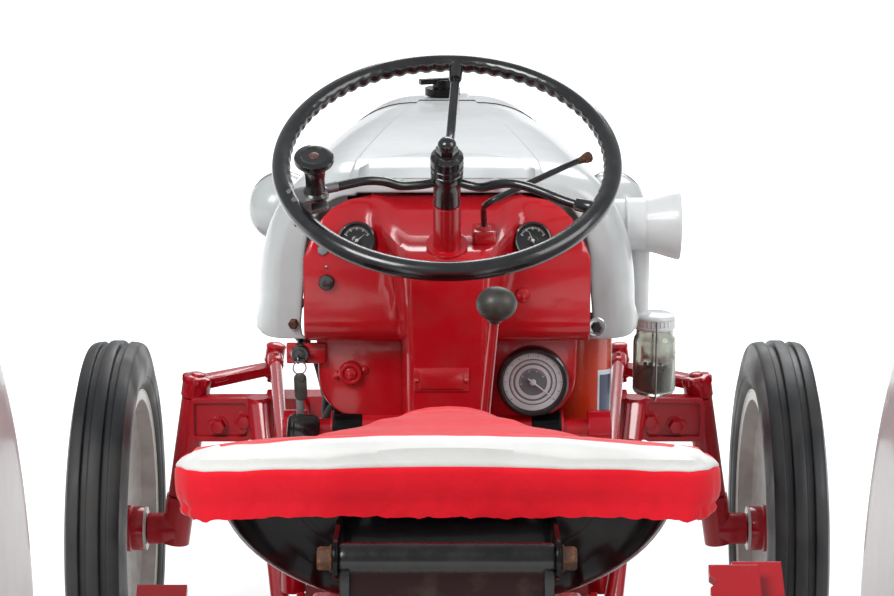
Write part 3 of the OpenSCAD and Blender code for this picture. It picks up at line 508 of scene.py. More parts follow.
def piece(name, form, look_names, replaced="", body="chassis", sharp=SHARP, thick=0.0):
    """Makes the form an object that rides on a body and may stand for a CAD node."""
    mesh = mesh_of(name, form, WELD)
    for look_name in look_names.split():
        mesh.materials.append(looks[look_name])
    mesh.shade_smooth()
    mesh.set_sharp_from_angle(angle=radians(sharp))
    made = bpy.data.objects.new(name, mesh)
    objects.link(made)
    if thick:
        solid = made.modifiers.new("thickness", "SOLIDIFY")
        solid.thickness = thick
        solid.offset = -1
    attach(made, body)
    if replaced:
        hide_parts(replaced)
    return made


def cut(made, form, keep=False):
    """Takes the form's solids out of a piece, or keeps only what is inside them."""
    cutter = bpy.data.objects.new("cutter", mesh_of("cutter", form))
    objects.link(cutter)
    change = made.modifiers.new("cut", "BOOLEAN")
    change.operation = "INTERSECT" if keep else "DIFFERENCE"
    change.solver = "EXACT"
    change.object = cutter
    bpy.context.view_layer.update()
    result = bpy.data.meshes.new_from_object(made.evaluated_get(bpy.context.evaluated_depsgraph_get()))
    made.modifiers.clear()
    made.data = result
    result.shade_smooth()
    result.set_sharp_from_angle(angle=radians(SHARP))
    bpy.data.objects.remove(cutter)


# Hood and grille: the same rows as the CAD shell, in finer steps
DASH_Y, HOOD_W, HOOD_Z, CAP_Y, NOSE_LEN, NOSE_W, GRILLE_Z, NOSE_Z = 790, 268, 1219, 1750, 198, 204, 690, 1040
SPLIT_Y = CAP_Y - 110
JAR_X, JAR_Y, INTAKE_Z = 306, 950, 1105
# Each row: place along the tractor, half width, top, height of the shoulder and lower edge
rear_rows = [(DASH_Y - 2, 202, HOOD_Z - 32, 1064, 975), (DASH_Y + 4, 236, HOOD_Z - 18, 1050, 974),
    (DASH_Y + 24, 258, HOOD_Z - 6, 1030, 973), (DASH_Y + 70, HOOD_W, HOOD_Z, 1010, 970),
    (1200, HOOD_W - 22, HOOD_Z - 12, 985, 940), (1500, HOOD_W - 42, HOOD_Z - 34, 965, 908),
    (SPLIT_Y, HOOD_W - 54, HOOD_Z - 46, 955, 894)]


def between_rows(rows, steps):
    """Straight runs between rows of numbers, eased where they turn."""
    out = []
    for i in range(len(rows) - 1):
        a, b, c, d = rows[max(i - 1, 0)], rows[i], rows[i + 1], rows[min(i + 2, len(rows) - 1)]
        span = max(c[0] - b[0], 0.1)
        before, after = max(c[0] - a[0], 0.1), max(d[0] - b[0], 0.1)
        for step in range(steps):
            t = step / steps
            start, enter = 2 * t ** 3 - 3 * t * t + 1, t ** 3 - 2 * t * t + t
            end, leave = 3 * t * t - 2 * t ** 3, t ** 3 - t * t
            out.append(tuple(start * q + enter * ((r - p) / before * span)
                             + end * r + leave * ((s - q) / after * span)
                             for p, q, r, s in zip(a, b, c, d)))
    return out + [rows[-1]]


def nose_row(angle):
    narrow = cos(radians(angle)) ** 0.3
    return (CAP_Y + NOSE_LEN * sin(radians(angle)), NOSE_W * narrow,
            HOOD_Z - 58 - 190 * (1 - narrow), 950 - 60 * (1 - narrow), GRILLE_Z)


def shell_ring(row, inward, back=0.0):
    """One section of the hood: the outside skin, then the inside skin the other way round."""
    place, width, top, side, lower = row
    rings = []
    for depth, y in ((0, place), (inward, place - back)):
        w, t = width - depth, top - depth
        band = min(w * 0.62, 36 + 96 * max(0.0, (CAP_Y - y) / (CAP_Y - DASH_Y)))
        bulge = 6 * min(1.0, max(0.0, (1300 - y) / 400))
        half = [(w - 2, lower), (w + bulge * 0.7, lower + 7), (w + bulge, lower + 20), (w, side)]
        for i in range(1, 17):
            a = radians(i * 90 / 16.5)
            half.append((band + 4 + (w - band - 4) * cos(a) ** 0.85, side
                + (t - 4 - side) * sin(a) ** 0.85))
        half += [(band + 4, t - 4), (band, t), (band * 0.5, t), (0.0, t)]
        rings.append([(x, y, z) for x, z in half] + [(-x, y, z) for x, z in half[-2::-1]])
    return rings[0] + rings[1][::-1]


def shell(rows):
    """The hood's skin through rows, open below and at the rear and closed by a front wall."""
    form = Form()
    rings = [shell_ring(row, 3) for row in rows[:-1]] + [shell_ring(rows[-1], 3, 3)]
    form.loft(rings, ends=False)
    double = len(rings[0])
    n = double // 2
    last = (len(rings) - 1) * double
    caps = [(j, j + 1, double - 2 - j, double - 1 - j) for j in range(n - 1)]
    caps += [tuple(last + j for j in range(n)), tuple(last + n + j for j in range(n)),
             (last, last + n - 1, last + n, last + double - 1)]
    form.faces += caps
    form.numbers += [0] * len(caps)
    return form


def nose_box(rear, top):
    """A box round the nose, ahead of a place and below a height."""
    form = Form()
    form.add([(x, y, z) for x in (-320, 320) for y in (rear, 2050) for z in (600, top)],
             [(0, 1, 3, 2), (4, 6, 7, 5), (0, 4, 5, 1), (2, 3, 7, 6), (0, 2, 6, 4), (1, 5, 7, 3)])
    return form


hood_rows = between_rows(rear_rows, 6)
nose_rows = [(SPLIT_Y + 0.5, HOOD_W - 54, HOOD_Z - 46, 955, GRILLE_Z)]
nose_rows += [nose_row(a) for a in (0, 10, 20, 30, 39, 47, 54, 60, 66, 71, 76, 80, 84, 87)]
hood_piece = piece("hood_shell", shell(hood_rows + nose_rows), "grey", "hood")
holes = nose_box(SPLIT_Y - 1, NOSE_Z)
holes.turned((-8, CAP_Y, 1080), UP, [(25, 0), (25, 140)])
holes.turned((200, JAR_Y, INTAKE_Z), RIGHT, [(37.5, 0), (37.5, 120)])
cut(hood_piece, holes)
grille_piece = piece("grille_shell", shell(nose_rows), "grey", "grille")
cut(grille_piece, nose_box(SPLIT_Y - 20, NOSE_Z - 0.6), keep=True)
slots = Form()
for side in (-1, 1):
    for i in range(7):
        slots.plate((side * (22 + i * 17), 1850, 865), RIGHT, -UP, rounded(9, 270, 4.4, 4), 200, rim=0.1)
for i in range(5):
    slots.plate((-300, SPLIT_Y + 34.5 + i * 22, 850), AHEAD, UP, rounded(9, 180, 4.4, 4), 600, rim=0.1)
cut(grille_piece, slots)


# Seams, the tank's lid and the fasteners of the hood
def hood_top(y):
    for low, high in zip(hood_rows, hood_rows[1:]):
        if low[0] <= y <= high[0]:
            part = (y - low[0]) / max(high[0] - low[0], 0.01)
            return low[2] + (high[2] - low[2]) * part
    return HOOD_Z


lid = Form()
lid_rows = []
for step in range(17):
    x = -122 + 244 * step / 16
    front = 905 - 92 * (x / 122) ** 2
    places = [795 + (front - 795) * k / 8 for k in range(9)]
    row = [(x, y, hood_top(y) + 1.6) for y in places]
    lid_rows.append([(x, 795.5, hood_top(795) - 0.5)] + row + [(x, front + 1.2, hood_top(front) - 0.5)])
lid.loft(lid_rows, closed=False, ends=False)
# The lid is drawn in a lighter grey than the hood: a painted highlight over the cowl
piece("tank_lid", lid, "lid_highlight_grey", thick=0.001)
trim = Form()
for x in (-66, 66):
    trim.turned((x, 791, 1196), (0, -0.7, 0.7), [(9, -1), (9, 1.5), (7.5, 3.2), (3, 4), (0, 4)], 0, 28)
    trim.slab((x - 6, 785.6, 1198.6), (x + 6, 787.2, 1202), 1, 0.3, 0.6)
trim.bolt((-215, 789, 997), (-0.15, -1, 0), 13, 2)
trim.turned((209, 789, 992), (0.15, -1, 0), [(14, -1), (14, 1.6), (12.8, 2.4), (9, 2.6)], 3, 32)
trim.bolt((209, 788.5, 992), (0.15, -1, 0), 13, 1)
seam = [(x * 1.001, y + 0.5, z * 1.0005) for x, y, z in shell_ring(rear_rows[-1], 3)[3:44]]
trim.tube(seam, 1.1, 1, 6)
piece("hood_trim", trim, "grey seam iron chrome")


# Dash: one sheet that runs from the pedestal's face over its shoulders to both panels
def ease(value):
    value = min(max(value, 0.0), 1.0)
    return value * value * (3 - 2 * value)


def panel_edge(z):
    """Half width of the dash at a height, just inside the hood's rear edge."""
    if z <= 1064:
        return 198.0
    sine = min(((z - 1064) / (1179 - 1064)) ** (1 / 0.85), 1.0)
    return 105 + 93 * max(0.0, sqrt(1 - sine * sine)) ** 0.85


# Each row: panel's y and z, pedestal's y and z, blend's width, outer limit
dash_rows = [(790, 812, 702, 812, 12, 62), (791, 850, 668, 850, 12, 62), (791, 900, 663, 900, 12, 62),
    (791, 940, 658, 940, 12, 62), (791, 972, 655, 972, 12, 62), (786, 979, 654, 979, 12, 198),
    (772, 980, 654, 981, 12, 198), (758, 983, 653, 986, 13, 198), (747, 990, 652, 994, 14, 198),
    (741, 1000, 651, 1004, 15, 198), (740, 1014, 650, 1018, 16, 198), (742, 1050, 646, 1052, 22, 198),
    (744, 1080, 643, 1080, 30, 198), (747, 1100, 641, 1100, 38, 198), (753, 1120, 642, 1114, 46, 0),
    (760, 1138, 647, 1124, 52, 0), (767, 1152, 660, 1129, 56, 0), (775, 1164, 690, 1131, 60, 0),
    (782, 1174, 730, 1135, 62, 0), (792, 1180, 765, 1155, 62, 0), (804, 1182, 798, 1178, 62, 0)]
columns = [0, 20, 36, 44, 48, 51, 54, 57, 60, 63, 66, 70, 75, 81, 88, 96, 105, 115, 128, 142, 156, 170, 184,
    191, 196, 198]
dash = Form()
rings = []
for panel_y, panel_z, ped_y, ped_z, width, limit in dash_rows:
    edge = limit or panel_edge(panel_z)
    ring = []
    for x in [-c for c in columns[:0:-1]] + columns:
        blend = ease((abs(x) - 50) / width)
        held = copysign(min(abs(x), edge), x)
        ring.append((held, ped_y + (panel_y - ped_y) * blend, ped_z + (panel_z - ped_z) * blend))
    rings.append(ring)
dash.loft(rings, closed=False, ends=False)
piece("dash_sheet", dash, "red", "dash", sharp=50, thick=0.0025)
plates = Form()
low_plate = [(58, 982), (58, 858)] + arc((120, 918), 62, -90, 0, 10) + [(184, 982)]
for outline in (low_plate, [(-x, z) for x, z in low_plate[::-1]]):
    plates.plate((0, 806, 0), RIGHT, UP, outline, 15, 0, 5)
PEDESTAL_OUT, PEDESTAL_UP = (0, -0.994, -0.107), (0, -0.107, 0.994)
plates.plate((-7.5, 655, 953), RIGHT, PEDESTAL_UP, rounded(76, 35, 3), 2.4, 0, 0.9)
plates.plate((-7.5, 653.2, 953), RIGHT, PEDESTAL_UP, rounded(60, 27, 2), 1.6, 0, 0.7)
for x in (-41.5, 26.5):
    plates.turned((x, 653, 952), PEDESTAL_OUT, [(2.8, -1), (2.8, 1.4), (1.6, 2.6), (0, 2.8)], 0, 16)
plates.slab((-226, 782, 940), (-170, 792, 969), 0, 2, 3)
piece("dash_plates", plates, "red")


# Instruments: two gauges above, a dial, the starter, switches and the key
def spread(out, up, degrees):
    """Directions away from a face's middle and square to that, at an angle from upward."""
    a = radians(degrees)
    across = out.cross(up)
    return sin(a) * across + cos(a) * up, cos(a) * across - sin(a) * up


def marks(form, place, out, up, radius, first, last, count, look, long_every=5, size=1.0):
    """Tick marks on a dial's face, by angles in degrees from the upward direction."""
    for i in range(count):
        radial, square = spread(out, up, first + (last - first) * i / (count - 1))
        long, wide = (4.2, 0.55) if i % long_every == 0 else (2.4, 0.3)
        inner = radius - long * size
        corners = [place + r * radial + s * wide * size * square
                   for r, s in ((inner, -1), (radius, -1), (radius, 1), (inner, 1))]
        form.loft([corners, [corner + 0.5 * out for corner in corners]], look)


def needle(form, place, out, up, degrees, length, look, tail, wide):
    ahead = spread(out, up, degrees)[0]
    form.tube([place - tail * ahead, place, place + length * ahead], [0.7 * wide, wide, 0.25 * wide], look, 8)
    pivot = [(3 * wide, 0), (3 * wide, 2.4), (1.8 * wide, 3.2), (0, 3.4)]
    form.turned(place - 1.5 * out, out, pivot, look, 20)


GAUGE_OUT = Vector((0, -0.951, 0.309))
GAUGE_UP = Vector((0, 0.309, 0.951))
gauge_rows = [(26.6, -4), (26.8, 5), (27, 7), (26.6, 10), (25.4, 12.4), (23.6, 13.2), (22.2, 12.4),
    (21.4, 9.6), (21.2, 8.6), (0, 8.6)]
dials = Form()
for x, pointer in ((-124, -52), (118, 24)):
    place = Vector((x, 754.1, 1123))
    dials.turned(place, GAUGE_OUT, gauge_rows, 0, 56)
    face = place + 8.7 * GAUGE_OUT
    marks(dials, face, GAUGE_OUT, GAUGE_UP, 19, -62, 62, 21, 1)
    dials.turned(face, GAUGE_OUT, [(7.2, 0), (7.2, 0.5), (6.6, 0.8), (0, 0.8)], 4, 24)
    needle(dials, face + 2 * GAUGE_OUT, GAUGE_OUT, GAUGE_UP, pointer, 14.5, 1, 4, 0.8)
    dials.turned(face + 1.1 * GAUGE_OUT - 13.5 * GAUGE_UP, GAUGE_OUT, [(1.6, -1), (1.6, 0.8), (0, 1)], 4, 12)
dial = Vector((121, 790, 914))
dials.turned(dial, BACK, [(50.6, -2), (51, 5), (51, 10), (50, 13.4), (47.6, 15.4), (44.6, 15.4),
    (43.2, 13.6), (42.8, 10.4), (42, 10)], 0, 72)
dials.turned(dial, BACK, [(42.6, 4), (42.6, 10), (0, 10.1)], 6, 64)
for inner, outer in ((34, 41.8), (28, 32), (20, 25)):
    band = [(outer, 9.4), (outer, 10.5), (inner, 10.5), (inner, 9.4), (outer, 9.4)]
    dials.turned(dial, BACK, band, 2, 64, ends=False)
marks(dials, dial + 10.4 * BACK, BACK, UP, 41, -130, 130, 53, 6, 4, 0.9)
marks(dials, dial + 10.4 * BACK, BACK, UP, 31.6, -124, 124, 63, 6, 4, 0.5)
marks(dials, dial + 10.2 * BACK, BACK, UP, 19, -60, 100, 17, 2, 4)
needle(dials, dial + 12.6 * BACK, BACK, UP, -128, 36, 2, 9, 1.5)
starter = (-136, 791, 925)
dials.turned(starter, BACK, [(16.8, 0), (16.8, 7), (15, 9.4), (10.6, 9.4), (10.4, 7.6), (8.6, 7.6),
    (8.4, 9.6), (6.6, 10.6), (0, 10.9)], 3, 36)
for side in (-1, 1):
    ear = off(starter, 19 * side, 0, 4 * side)
    dials.turned(ear, BACK, [(6.4, 0), (6.4, 2.6), (5.4, 3.6), (0, 3.6)], 3, 20)
    dials.turned(ear + 3 * BACK, BACK, [(3.4, 0), (3.4, 1), (1.6, 2.6), (0, 2.8)], 3, 16)
switch = (-166, 744, 1069)
dials.plate(off(switch, 1, 1, 0), RIGHT, (0, 0.06, 1), rounded(34, 18, 4), 1.8, 5, 0.5)
dials.turned(switch, BACK, [(4, 0), (4, 3), (10.6, 4), (11, 6), (11, 10), (9.6, 12), (0, 12.6)], 0, 28)
dials.turned(off(switch, 0, -1, 20), BACK, [(2.4, 0), (2.4, 1.2), (1, 2), (0, 2.1)], 5, 14)
dials.turned((-171, 747, 1112), GAUGE_OUT, [(7.4, -1), (7.4, 1.2), (6.4, 2), (0, 2.2)], 5, 24)
dials.turned((104, 744, 1050), BACK, [(11, -2), (11, 6), (9.6, 9), (6, 10.6), (0, 11)], 3, 28)
key = (-206, 790, 957)
dials.turned(key, BACK, [(12.6, -3), (12.6, 8), (13, 9), (13, 20), (11.6, 23), (9.4, 23), (9.2, 21.4),
    (7, 21.4), (6.8, 23.4), (0, 23.6)], 0, 32)
dials.plate(off(key, -1, -23, -6), BACK, UP, rounded(22, 11, 4), 2.2, 5, 0.5)
ring_at = off(key, 0, -33, -16)
dials.tube([off(ring_at, 9 * sin(a), 1.5 * sin(a), 9 * cos(a)) for a in turns(24, True)], 1.0, 5, 8)
piece("instrument_dials", dials, "dial_black mark_white dial_white red dial_black steel dial_grey",
    "instruments")
tags = Form()
# Each tag: its place from the ring, lean, width, height, corner, depth, look and rim
for place, lean, width, height, corner, depth, look, rim in (
        ((1, 1, -27), 0.03, 18, 40, 8, 4, 0, 1.6), ((0, 3, -57), 0.03, 11, 24, 2, 2.4, 2, 0.8),
        ((4, 4, -88), -0.1, 46, 40, 10, 7, 1, 2.6), ((5, -2, -88), -0.1, 32, 26, 6, 2, 1, 0.8)):
    outline = rounded(width, height, corner)
    tags.plate(off(ring_at, *place), (1, 0, lean), (-lean, 0, 1), outline, depth, look, rim)
tags.turned(off(ring_at, 2, -2, -14), BACK, [(5.6, 0), (5.6, 1.2), (4.6, 2), (0, 2.2)], 0, 24)
strap = [off(ring_at, *place) for place in ((-2, 0, -8), (0, 3, -44), (2, 4, -76))]
tags.tube(smooth(strap, 4), 1.6, 1, 8)
piece("key_tags", tags, "knob rim_black steel")

# Steering wheel: finger grips on the rim, three bent spokes, the hub and the spinner knob
WHEEL = Vector((0, 600, 1263))
LEAN = radians(28)
WHEEL_AXIS = Vector((0, -sin(LEAN), cos(LEAN)))
WHEEL_ACROSS = Vector((0, cos(LEAN), sin(LEAN)))
GRIPS = 72
GRIP_STEPS = 6 * GRIPS


def on_wheel(radius, degrees, height=0.0):
    a = radians(degrees)
    return WHEEL + radius * (cos(a) * RIGHT + sin(a) * WHEEL_ACROSS) + height * WHEEL_AXIS


wheel = Form()
rings = []
for i in range(GRIP_STEPS):
    degrees = i * 360 / GRIP_STEPS
    grip = 0.5 - 0.5 * cos(radians(GRIPS * degrees))
    ring = []
    for a in turns(20):
        under = max(0.0, cos(a - radians(215))) ** 1.5
        size = 12.5 - 2.7 * under * (1 - grip) ** 1.6
        ring.append(on_wheel(216 + size * cos(a), degrees, size * sin(a)))
    rings.append(ring)
wheel.loft(rings + [rings[0]], ends=False)
wheel.turned(WHEEL, WHEEL_AXIS, [(0, -66), (17.8, -66), (18.2, -40), (20.4, -26), (21.4, -24), (21.4, -15),
    (20, -14), (20, -11.6), (21.8, -10.6), (21.8, -5), (20.2, -4), (20.2, -1.6), (22.2, -0.6), (22.4, 6),
    (21, 11), (17, 14), (16.4, 16), (13.2, 16.6)], 0, 48)
wheel.turned(WHEEL, WHEEL_AXIS, [(0, 15), (14.6, 15), (14.6, 25), (12.8, 27)], 0, 6)
wheel.turned(WHEEL, WHEEL_AXIS, [(12.4, 26), (12.6, 28), (11.6, 32), (9, 35.6), (5, 38), (0, 38.8)], 0, 32)
LEFT_SPOKE = 199.5
# Each spoke: its angle, then radius and height from the hub to the rim
spokes = [
    (LEFT_SPOKE, (16, -29), (30, -28.5), (48, -26), (66, -21), (88, -8), (110, -1), (132, 0), (157, 0),
     (183, 2), (212, 0)),
    (333.5, (16, -27), (34, -26.6), (52, -23), (72, -11), (92, -2), (114, 1), (138, 0), (162, -2.5),
     (186, -3), (212, 0)),
    (86.5, (16, -10), (38, -7), (58, -13), (82, -16.5), (108, -15), (135, -12), (166, -10), (196, -6),
     (212, 0))]
for degrees, *path in spokes:
    wheel.tube(smooth([on_wheel(r, degrees, h) for r, h in path], 5), 6.2)
    outer = path[-2][1] * 0.7
    sleeve = [on_wheel(r, degrees, h) for r, h in ((184, outer), (186, outer), (204, 0), (212, 0))]
    wheel.tube(sleeve, [7.4, 8.8, 9.4, 9.6], 0, 18)
KNOB_ANGLE = 203
knob_at = on_wheel(183, KNOB_ANGLE)
wheel.turned(knob_at, WHEEL_AXIS, [
    (0, 4), (17, 5), (17, 9), (13, 12), (12.6, 30), (14.5, 46), (20, 54), (25, 59), (26, 62.5), (25, 66.5),
    (21, 68.6), (17, 69), (16.4, 68), (0, 67.6)])
wheel.turned(knob_at, WHEEL_AXIS, [(6.5, 66), (6.5, 68.4), (5.4, 69), (0, 69.2)], 1, 24)
radial = (on_wheel(1, KNOB_ANGLE) - WHEEL).normalized()
tangent = WHEEL_AXIS.cross(radial)
for height in (-15, 3):
    clamp_at = knob_at + 12 * radial + height * WHEEL_AXIS
    wheel.plate(clamp_at, radial, tangent, rounded(52, 30, 6), 7, 2, 1.4)
for along in (32, -8):
    for sideways in (-9, 9):
        wheel.bolt(knob_at + along * radial + sideways * tangent + 9.6 * WHEEL_AXIS, WHEEL_AXIS, 7, 2, 5)
bracket_at = knob_at + 24 * radial + 16 * tangent - 10 * WHEEL_AXIS
wheel.plate(bracket_at, radial, WHEEL_AXIS, rounded(24, 34, 3), 2.4, 2, 0.8)
wheel.tube([on_wheel(r, LEFT_SPOKE, h) for r, h in ((150, 0.3), (168, 1), (190, 1.6))], 6.9, 2, 16)
piece("steering_wheel_grips", wheel, "rim_black red_inset steel", "steering_wheel",
    "steering_wheel", sharp=40)

# Levers: gear lever with its boot and knob, lift lever and the hand throttle's rod
levers = Form()
levers.turned((40, 540, 803), UP, [(0, 0), (23, 0), (23, 4), (20, 6), (17.6, 9), (16, 14), (12, 18),
    (9.6, 20), (0, 20)], 1, 36)
levers.tube(smooth([(40, 540, 812), (43, 524, 860), (50, 484, 966), (60, 438, 1094)], 6),
    [8.2 - 2.4 * i / 18 for i in range(19)], 0, 16)
levers.turned((156, -60, 800), RIGHT, [(0, -17.7), (15, -17.7), (15, 0), (12, 3), (0, 3)], 0, 32)
levers.tube(smooth([(150, -60, 800), (166, -36, 840), (182, 4, 900), (190, 30, 936)], 5), 5.8)
levers.ball((190, 30, 940), (13, 13, 13), 1, 20)
levers.slab((34, 684, 1133), (66, 742, 1151.6), 0, 2.2, 6)
levers.turned((50, 700, 1150), UP, [(0, 0), (11, 0), (11, 5), (8, 8), (0, 8)], 0, 24)
throttle = [(50, 700, 1146), (50, 694, 1160), (49, 662, 1188), (54, 647, 1198), (70, 646, 1207),
    (96, 655, 1218), (124, 665, 1229), (156, 680, 1241), (189, 696, 1252)]
levers.tube(smooth(throttle, 5), 4.3, 1, 12)
throttle_end = [(4.2, -6), (5, 0), (7.4, 7), (7.6, 12), (6, 14), (0, 14)]
levers.turned((181, 691.6, 1249), (0.87, 0.41, 0.28), throttle_end, 2, 24)
piece("lever_rods", levers, "red rim_black iron", "levers")
gear_knob = Form()
gear_knob.ball((62, 430, 1115), (26, 24, 22), 0, 32)
gear_knob.turned((60.4, 436, 1099), (0.1, -0.36, 0.93), [(9, -8), (9.6, -4), (10.5, 2), (8, 6)], 0, 24)
piece("gear_knob", gear_knob, "knob")

# Seat cover: a fitted cushion with a white band over its rear crest and a gathered hem.
# Each row is a place along the seat, the half width, the height in the middle and at the
# side, and the lower edge.
cover_rows = [(-257, 0, 1143, 1132, 1070), (-257, 120, 1143, 1132, 1069), (-255, 205, 1143, 1129, 1066),
    (-246, 243, 1145, 1126, 1061), (-226, 264, 1146, 1123, 1055), (-185, 274, 1135, 1114, 1051),
    (-110, 247, 1101, 1094, 1050), (-60, 209, 1085, 1080, 1042), (0, 162, 1076, 1072, 1036),
    (80, 98, 1068, 1064, 1030), (140, 60, 1061, 1056, 1025), (170, 34, 1056, 1051, 1027),
    (177, 0, 1054, 1050, 1029)]
half_path = smooth([(row[1], row[0], 0) for row in cover_rows], 16)
lengths = [0.0]
for a, b in zip(half_path, half_path[1:]):
    lengths.append(lengths[-1] + (b - a).length)


def cover_at(row_y, column):
    """A column of the cover's rows at a place along the seat."""
    for low, high in zip(cover_rows[1:], cover_rows[2:]):
        if row_y <= high[0]:
            part = max(0.0, (row_y - low[0]) / max(high[0] - low[0], 0.01))
            return low[column] + (high[column] - low[column]) * ease(part)
    return cover_rows[-1][column]


outline = []
steps = 170
for i in range(steps + 1):
    goal = lengths[-1] * i / steps
    k = min(max(j for j, far in enumerate(lengths) if far <= goal + 1e-6), len(half_path) - 2)
    part = (goal - lengths[k]) / max(lengths[k + 1] - lengths[k], 1e-6)
    outline.append(half_path[k].lerp(half_path[k + 1], part))
outline += [Vector((-p.x, p.y, 0)) for p in outline[-2:0:-1]]
count = len(outline)
inward = []
for i in range(count):
    along = outline[(i + 1) % count] - outline[i - 1]
    inward.append(Vector((-along.y, along.x, 0)).normalized())
CENTRE = Vector((0, -90, 0))


def ruffle(i):
    """Gathers round the hem, uneven but the same each run."""
    s = i * tau / count
    return (sin(52 * s + 1.3 * sin(7 * s)) + 0.6 * sin(83 * s + 2 * sin(5 * s))
            + 0.4 * sin(131 * s)) / 2


def crown(x, y):
    """Height of the cover's top, sunk a little where one sits."""
    middle, side, half = cover_at(y, 2), cover_at(y, 3), max(cover_at(y, 1), 40)
    share = min(abs(x) / half, 1.0)
    sunk = 5 * exp(-((x / 120) ** 2 + ((y + 130) / 70) ** 2))
    return side + (middle - side) * (1 - share ** 2.2) - sunk


cover = Form()
rings, ring_names = [], []
# Rows of the side: name, inward offset, share of the ruffle, height above the lower edge (0)
# or below the top edge (1)
side_rows = [("under", 34, 0.0, 0, 16), ("under", 16, 0.5, 0, 3), ("hem", 9, 1.2, 0, 0),
    ("hem", 4.5, 2.6, 0, 4), ("hem", 3.4, 3.0, 0, 9), ("hem", 5.0, 2.2, 0, 13), ("side", 1.2, 1.5, 0, 19),
    ("side", -0.6, 0.8, 0, 26), ("side", -1.0, 0.3, 1, 30), ("side", -0.8, 0.15, 1, 20),
    ("side", -0.3, 0.1, 1, 14.4), ("seam", 1.2, 0.0, 1, 13.2), ("band", 0.4, 0.0, 1, 12),
    ("band", 1.2, 0.0, 1, 9.6), ("band", 3.4, 0.0, 1, 6.6), ("band", 7.6, 0.0, 1, 3.4),
    ("band", 13.4, 0.0, 1, 1.0)]
for name, depth, gather, from_top, rise in side_rows:
    ring = []
    for i, p in enumerate(outline):
        near = ease((-p.y - 232) / 14) if name != "under" else 0
        low, top = cover_at(p.y, 4), crown(p.x, p.y)
        if from_top:
            arch = 0.75 * near * (top - cover_at(p.y, 3)) * min(rise / 13, 1)
            height = max(top - rise - arch, low + 27)
        else:
            height = low + rise + 1.5 * ruffle(i + 5) * (name == "hem")
        held = depth + (min(depth, 1.6) - depth) * near
        q = p + inward[i] * (held - gather * ruffle(i) * 0.9 * (1 - 0.4 * near))
        ring.append((q.x, q.y, height))
    rings.append(ring)
    ring_names.append(name)
top_shares = (0.93, 0.905, 0.88, 0.86, 0.84, 0.825, 0.79, 0.72, 0.65, 0.57, 0.49, 0.4, 0.3, 0.2, 0.1, 0.02)
for share in top_shares:
    ring = []
    for p in outline:
        q = CENTRE + (p - CENTRE) * share
        dent = 1.6 if share == 0.825 and p.y < -200 else 0
        ring.append((q.x, q.y, crown(q.x, q.y) + 0.6 - dent))
    rings.append(ring)
    ring_names.append("band" if share >= 0.84 else "top")
cover.loft(rings)
for r in range(len(rings) - 1):
    white = ring_names[r + 1] == "band" and ring_names[r] in ("band", "seam")
    for i, p in enumerate(outline):
        cover.numbers[r * count + i] = int(white and p.y < -196)
cover_piece = piece("seat_cushion_cover", cover, "seat_red seat_white", "seat_cover",
                    body="seat", sharp=60)
rise = cover_piece.modifiers.new("folds", "DISPLACE")
folds = bpy.data.textures.new("seat_folds", "CLOUDS")
folds.noise_scale = 0.07
folds.noise_depth = 2
rise.texture = folds
rise.texture_coords = "LOCAL"
rise.strength = 0.0035
rise.mid_level = 0.5

# Seat pan: a pressed bowl with a rolled rim, and the hinge's ears. Each row is a place along
# the seat, the half width, the rim's height and the depth.
pan_rows = [(-250, 148, 1082, 66), (-248, 164, 1082, 82), (-243, 184, 1082, 98), (-234, 205, 1082, 112),
    (-220, 221, 1082, 124), (-180, 232, 1078, 134), (-110, 211, 1066, 130), (-60, 182, 1056, 122),
    (0, 144, 1048, 108), (80, 82, 1042, 84), (140, 46, 1037, 64), (160, 30, 1035, 54), (168, 16, 1034, 44)]
HINGE_Y, HINGE_Z = -330, 1053


def lower_half(wide, deep, steps):
    """Points along the lower half of an ellipse."""
    angles = [pi + pi * i / steps for i in range(steps + 1)]
    return [(wide * cos(a), deep * sin(a)) for a in angles]


pan = Form()
rings = []
for y, wide, high, deep in between_rows(pan_rows, 4):
    outside, inside = lower_half(wide, deep, 44), lower_half(wide - 5, deep - 5, 44)
    rings.append([(x, y, high + z) for x, z in outside + inside[::-1]])
pan.loft(rings)
pan.plate((0, -245.8, 1082), RIGHT, UP, lower_half(148, 66, 32), 4, 0, 0.8)
for side in (-1, 1):
    ear = arc((HINGE_Y, HINGE_Z), 20, 100, 280, 12) + [(-262, 1008), (-246, 1008), (-246, 1064)]
    pan.plate((side * 106.8 - 2.5, 0, 0), AHEAD, UP, ear, 5, 0, 1)
    for y in (-256, -228):
        pan.turned((side * 88, y, 992), (0, -0.5, -1), [(7, -4), (7, 1.5), (4, 3), (0, 3.2)], 1, 16)
piece("seat_bowl", pan, "black iron", "seat_pan", "seat", sharp=40)

# Seat hinge: a rough black barrel, its bolt, the spring plate below and the red frame
support = Form()
rings = []
for i in range(53):
    ring = []
    for j, a in enumerate(turns(28)):
        r = 15.2 + 0.35 * sin(3 * i + 2 * j) * sin(1.7 * j + 0.6 * i) - (1.3 if i in (0, 52) else 0)
        ring.append((-104 + 4 * i, HINGE_Y + r * cos(a), HINGE_Z + r * sin(a)))
    rings.append(ring)
support.loft(rings, 1)
bend = [(-340, 985), (-312, 985), (-40, 868), (-40, 890), (-312, 1012), (-340, 1012)]
for side in (-1, 1):
    outward = (side, 0, 0)
    washer = [(8, -4), (8, 2), (13.4, 2.2), (13.4, 4), (12.6, 4.6)]
    support.turned((side * 108, HINGE_Y, HINGE_Z), outward, washer, 2, 28)
    support.bolt((side * 112.4, HINGE_Y, HINGE_Z), outward, 20, 2)
    support.slab((side * 98 - 5, -346, 1000), (side * 98 + 5, -336, 1046), 1, 2, 2)
    support.plate((side * 142 - 4, 0, 0), AHEAD, UP, bend, 8, 0, 1.6)
    support.slab((side * 134 - 12, -346, 985), (side * 134 + 12, -338, 1012), 0, 1.6, 2)
    support.bolt((side * 134, -346, 998), BACK, 13, 2, 10)
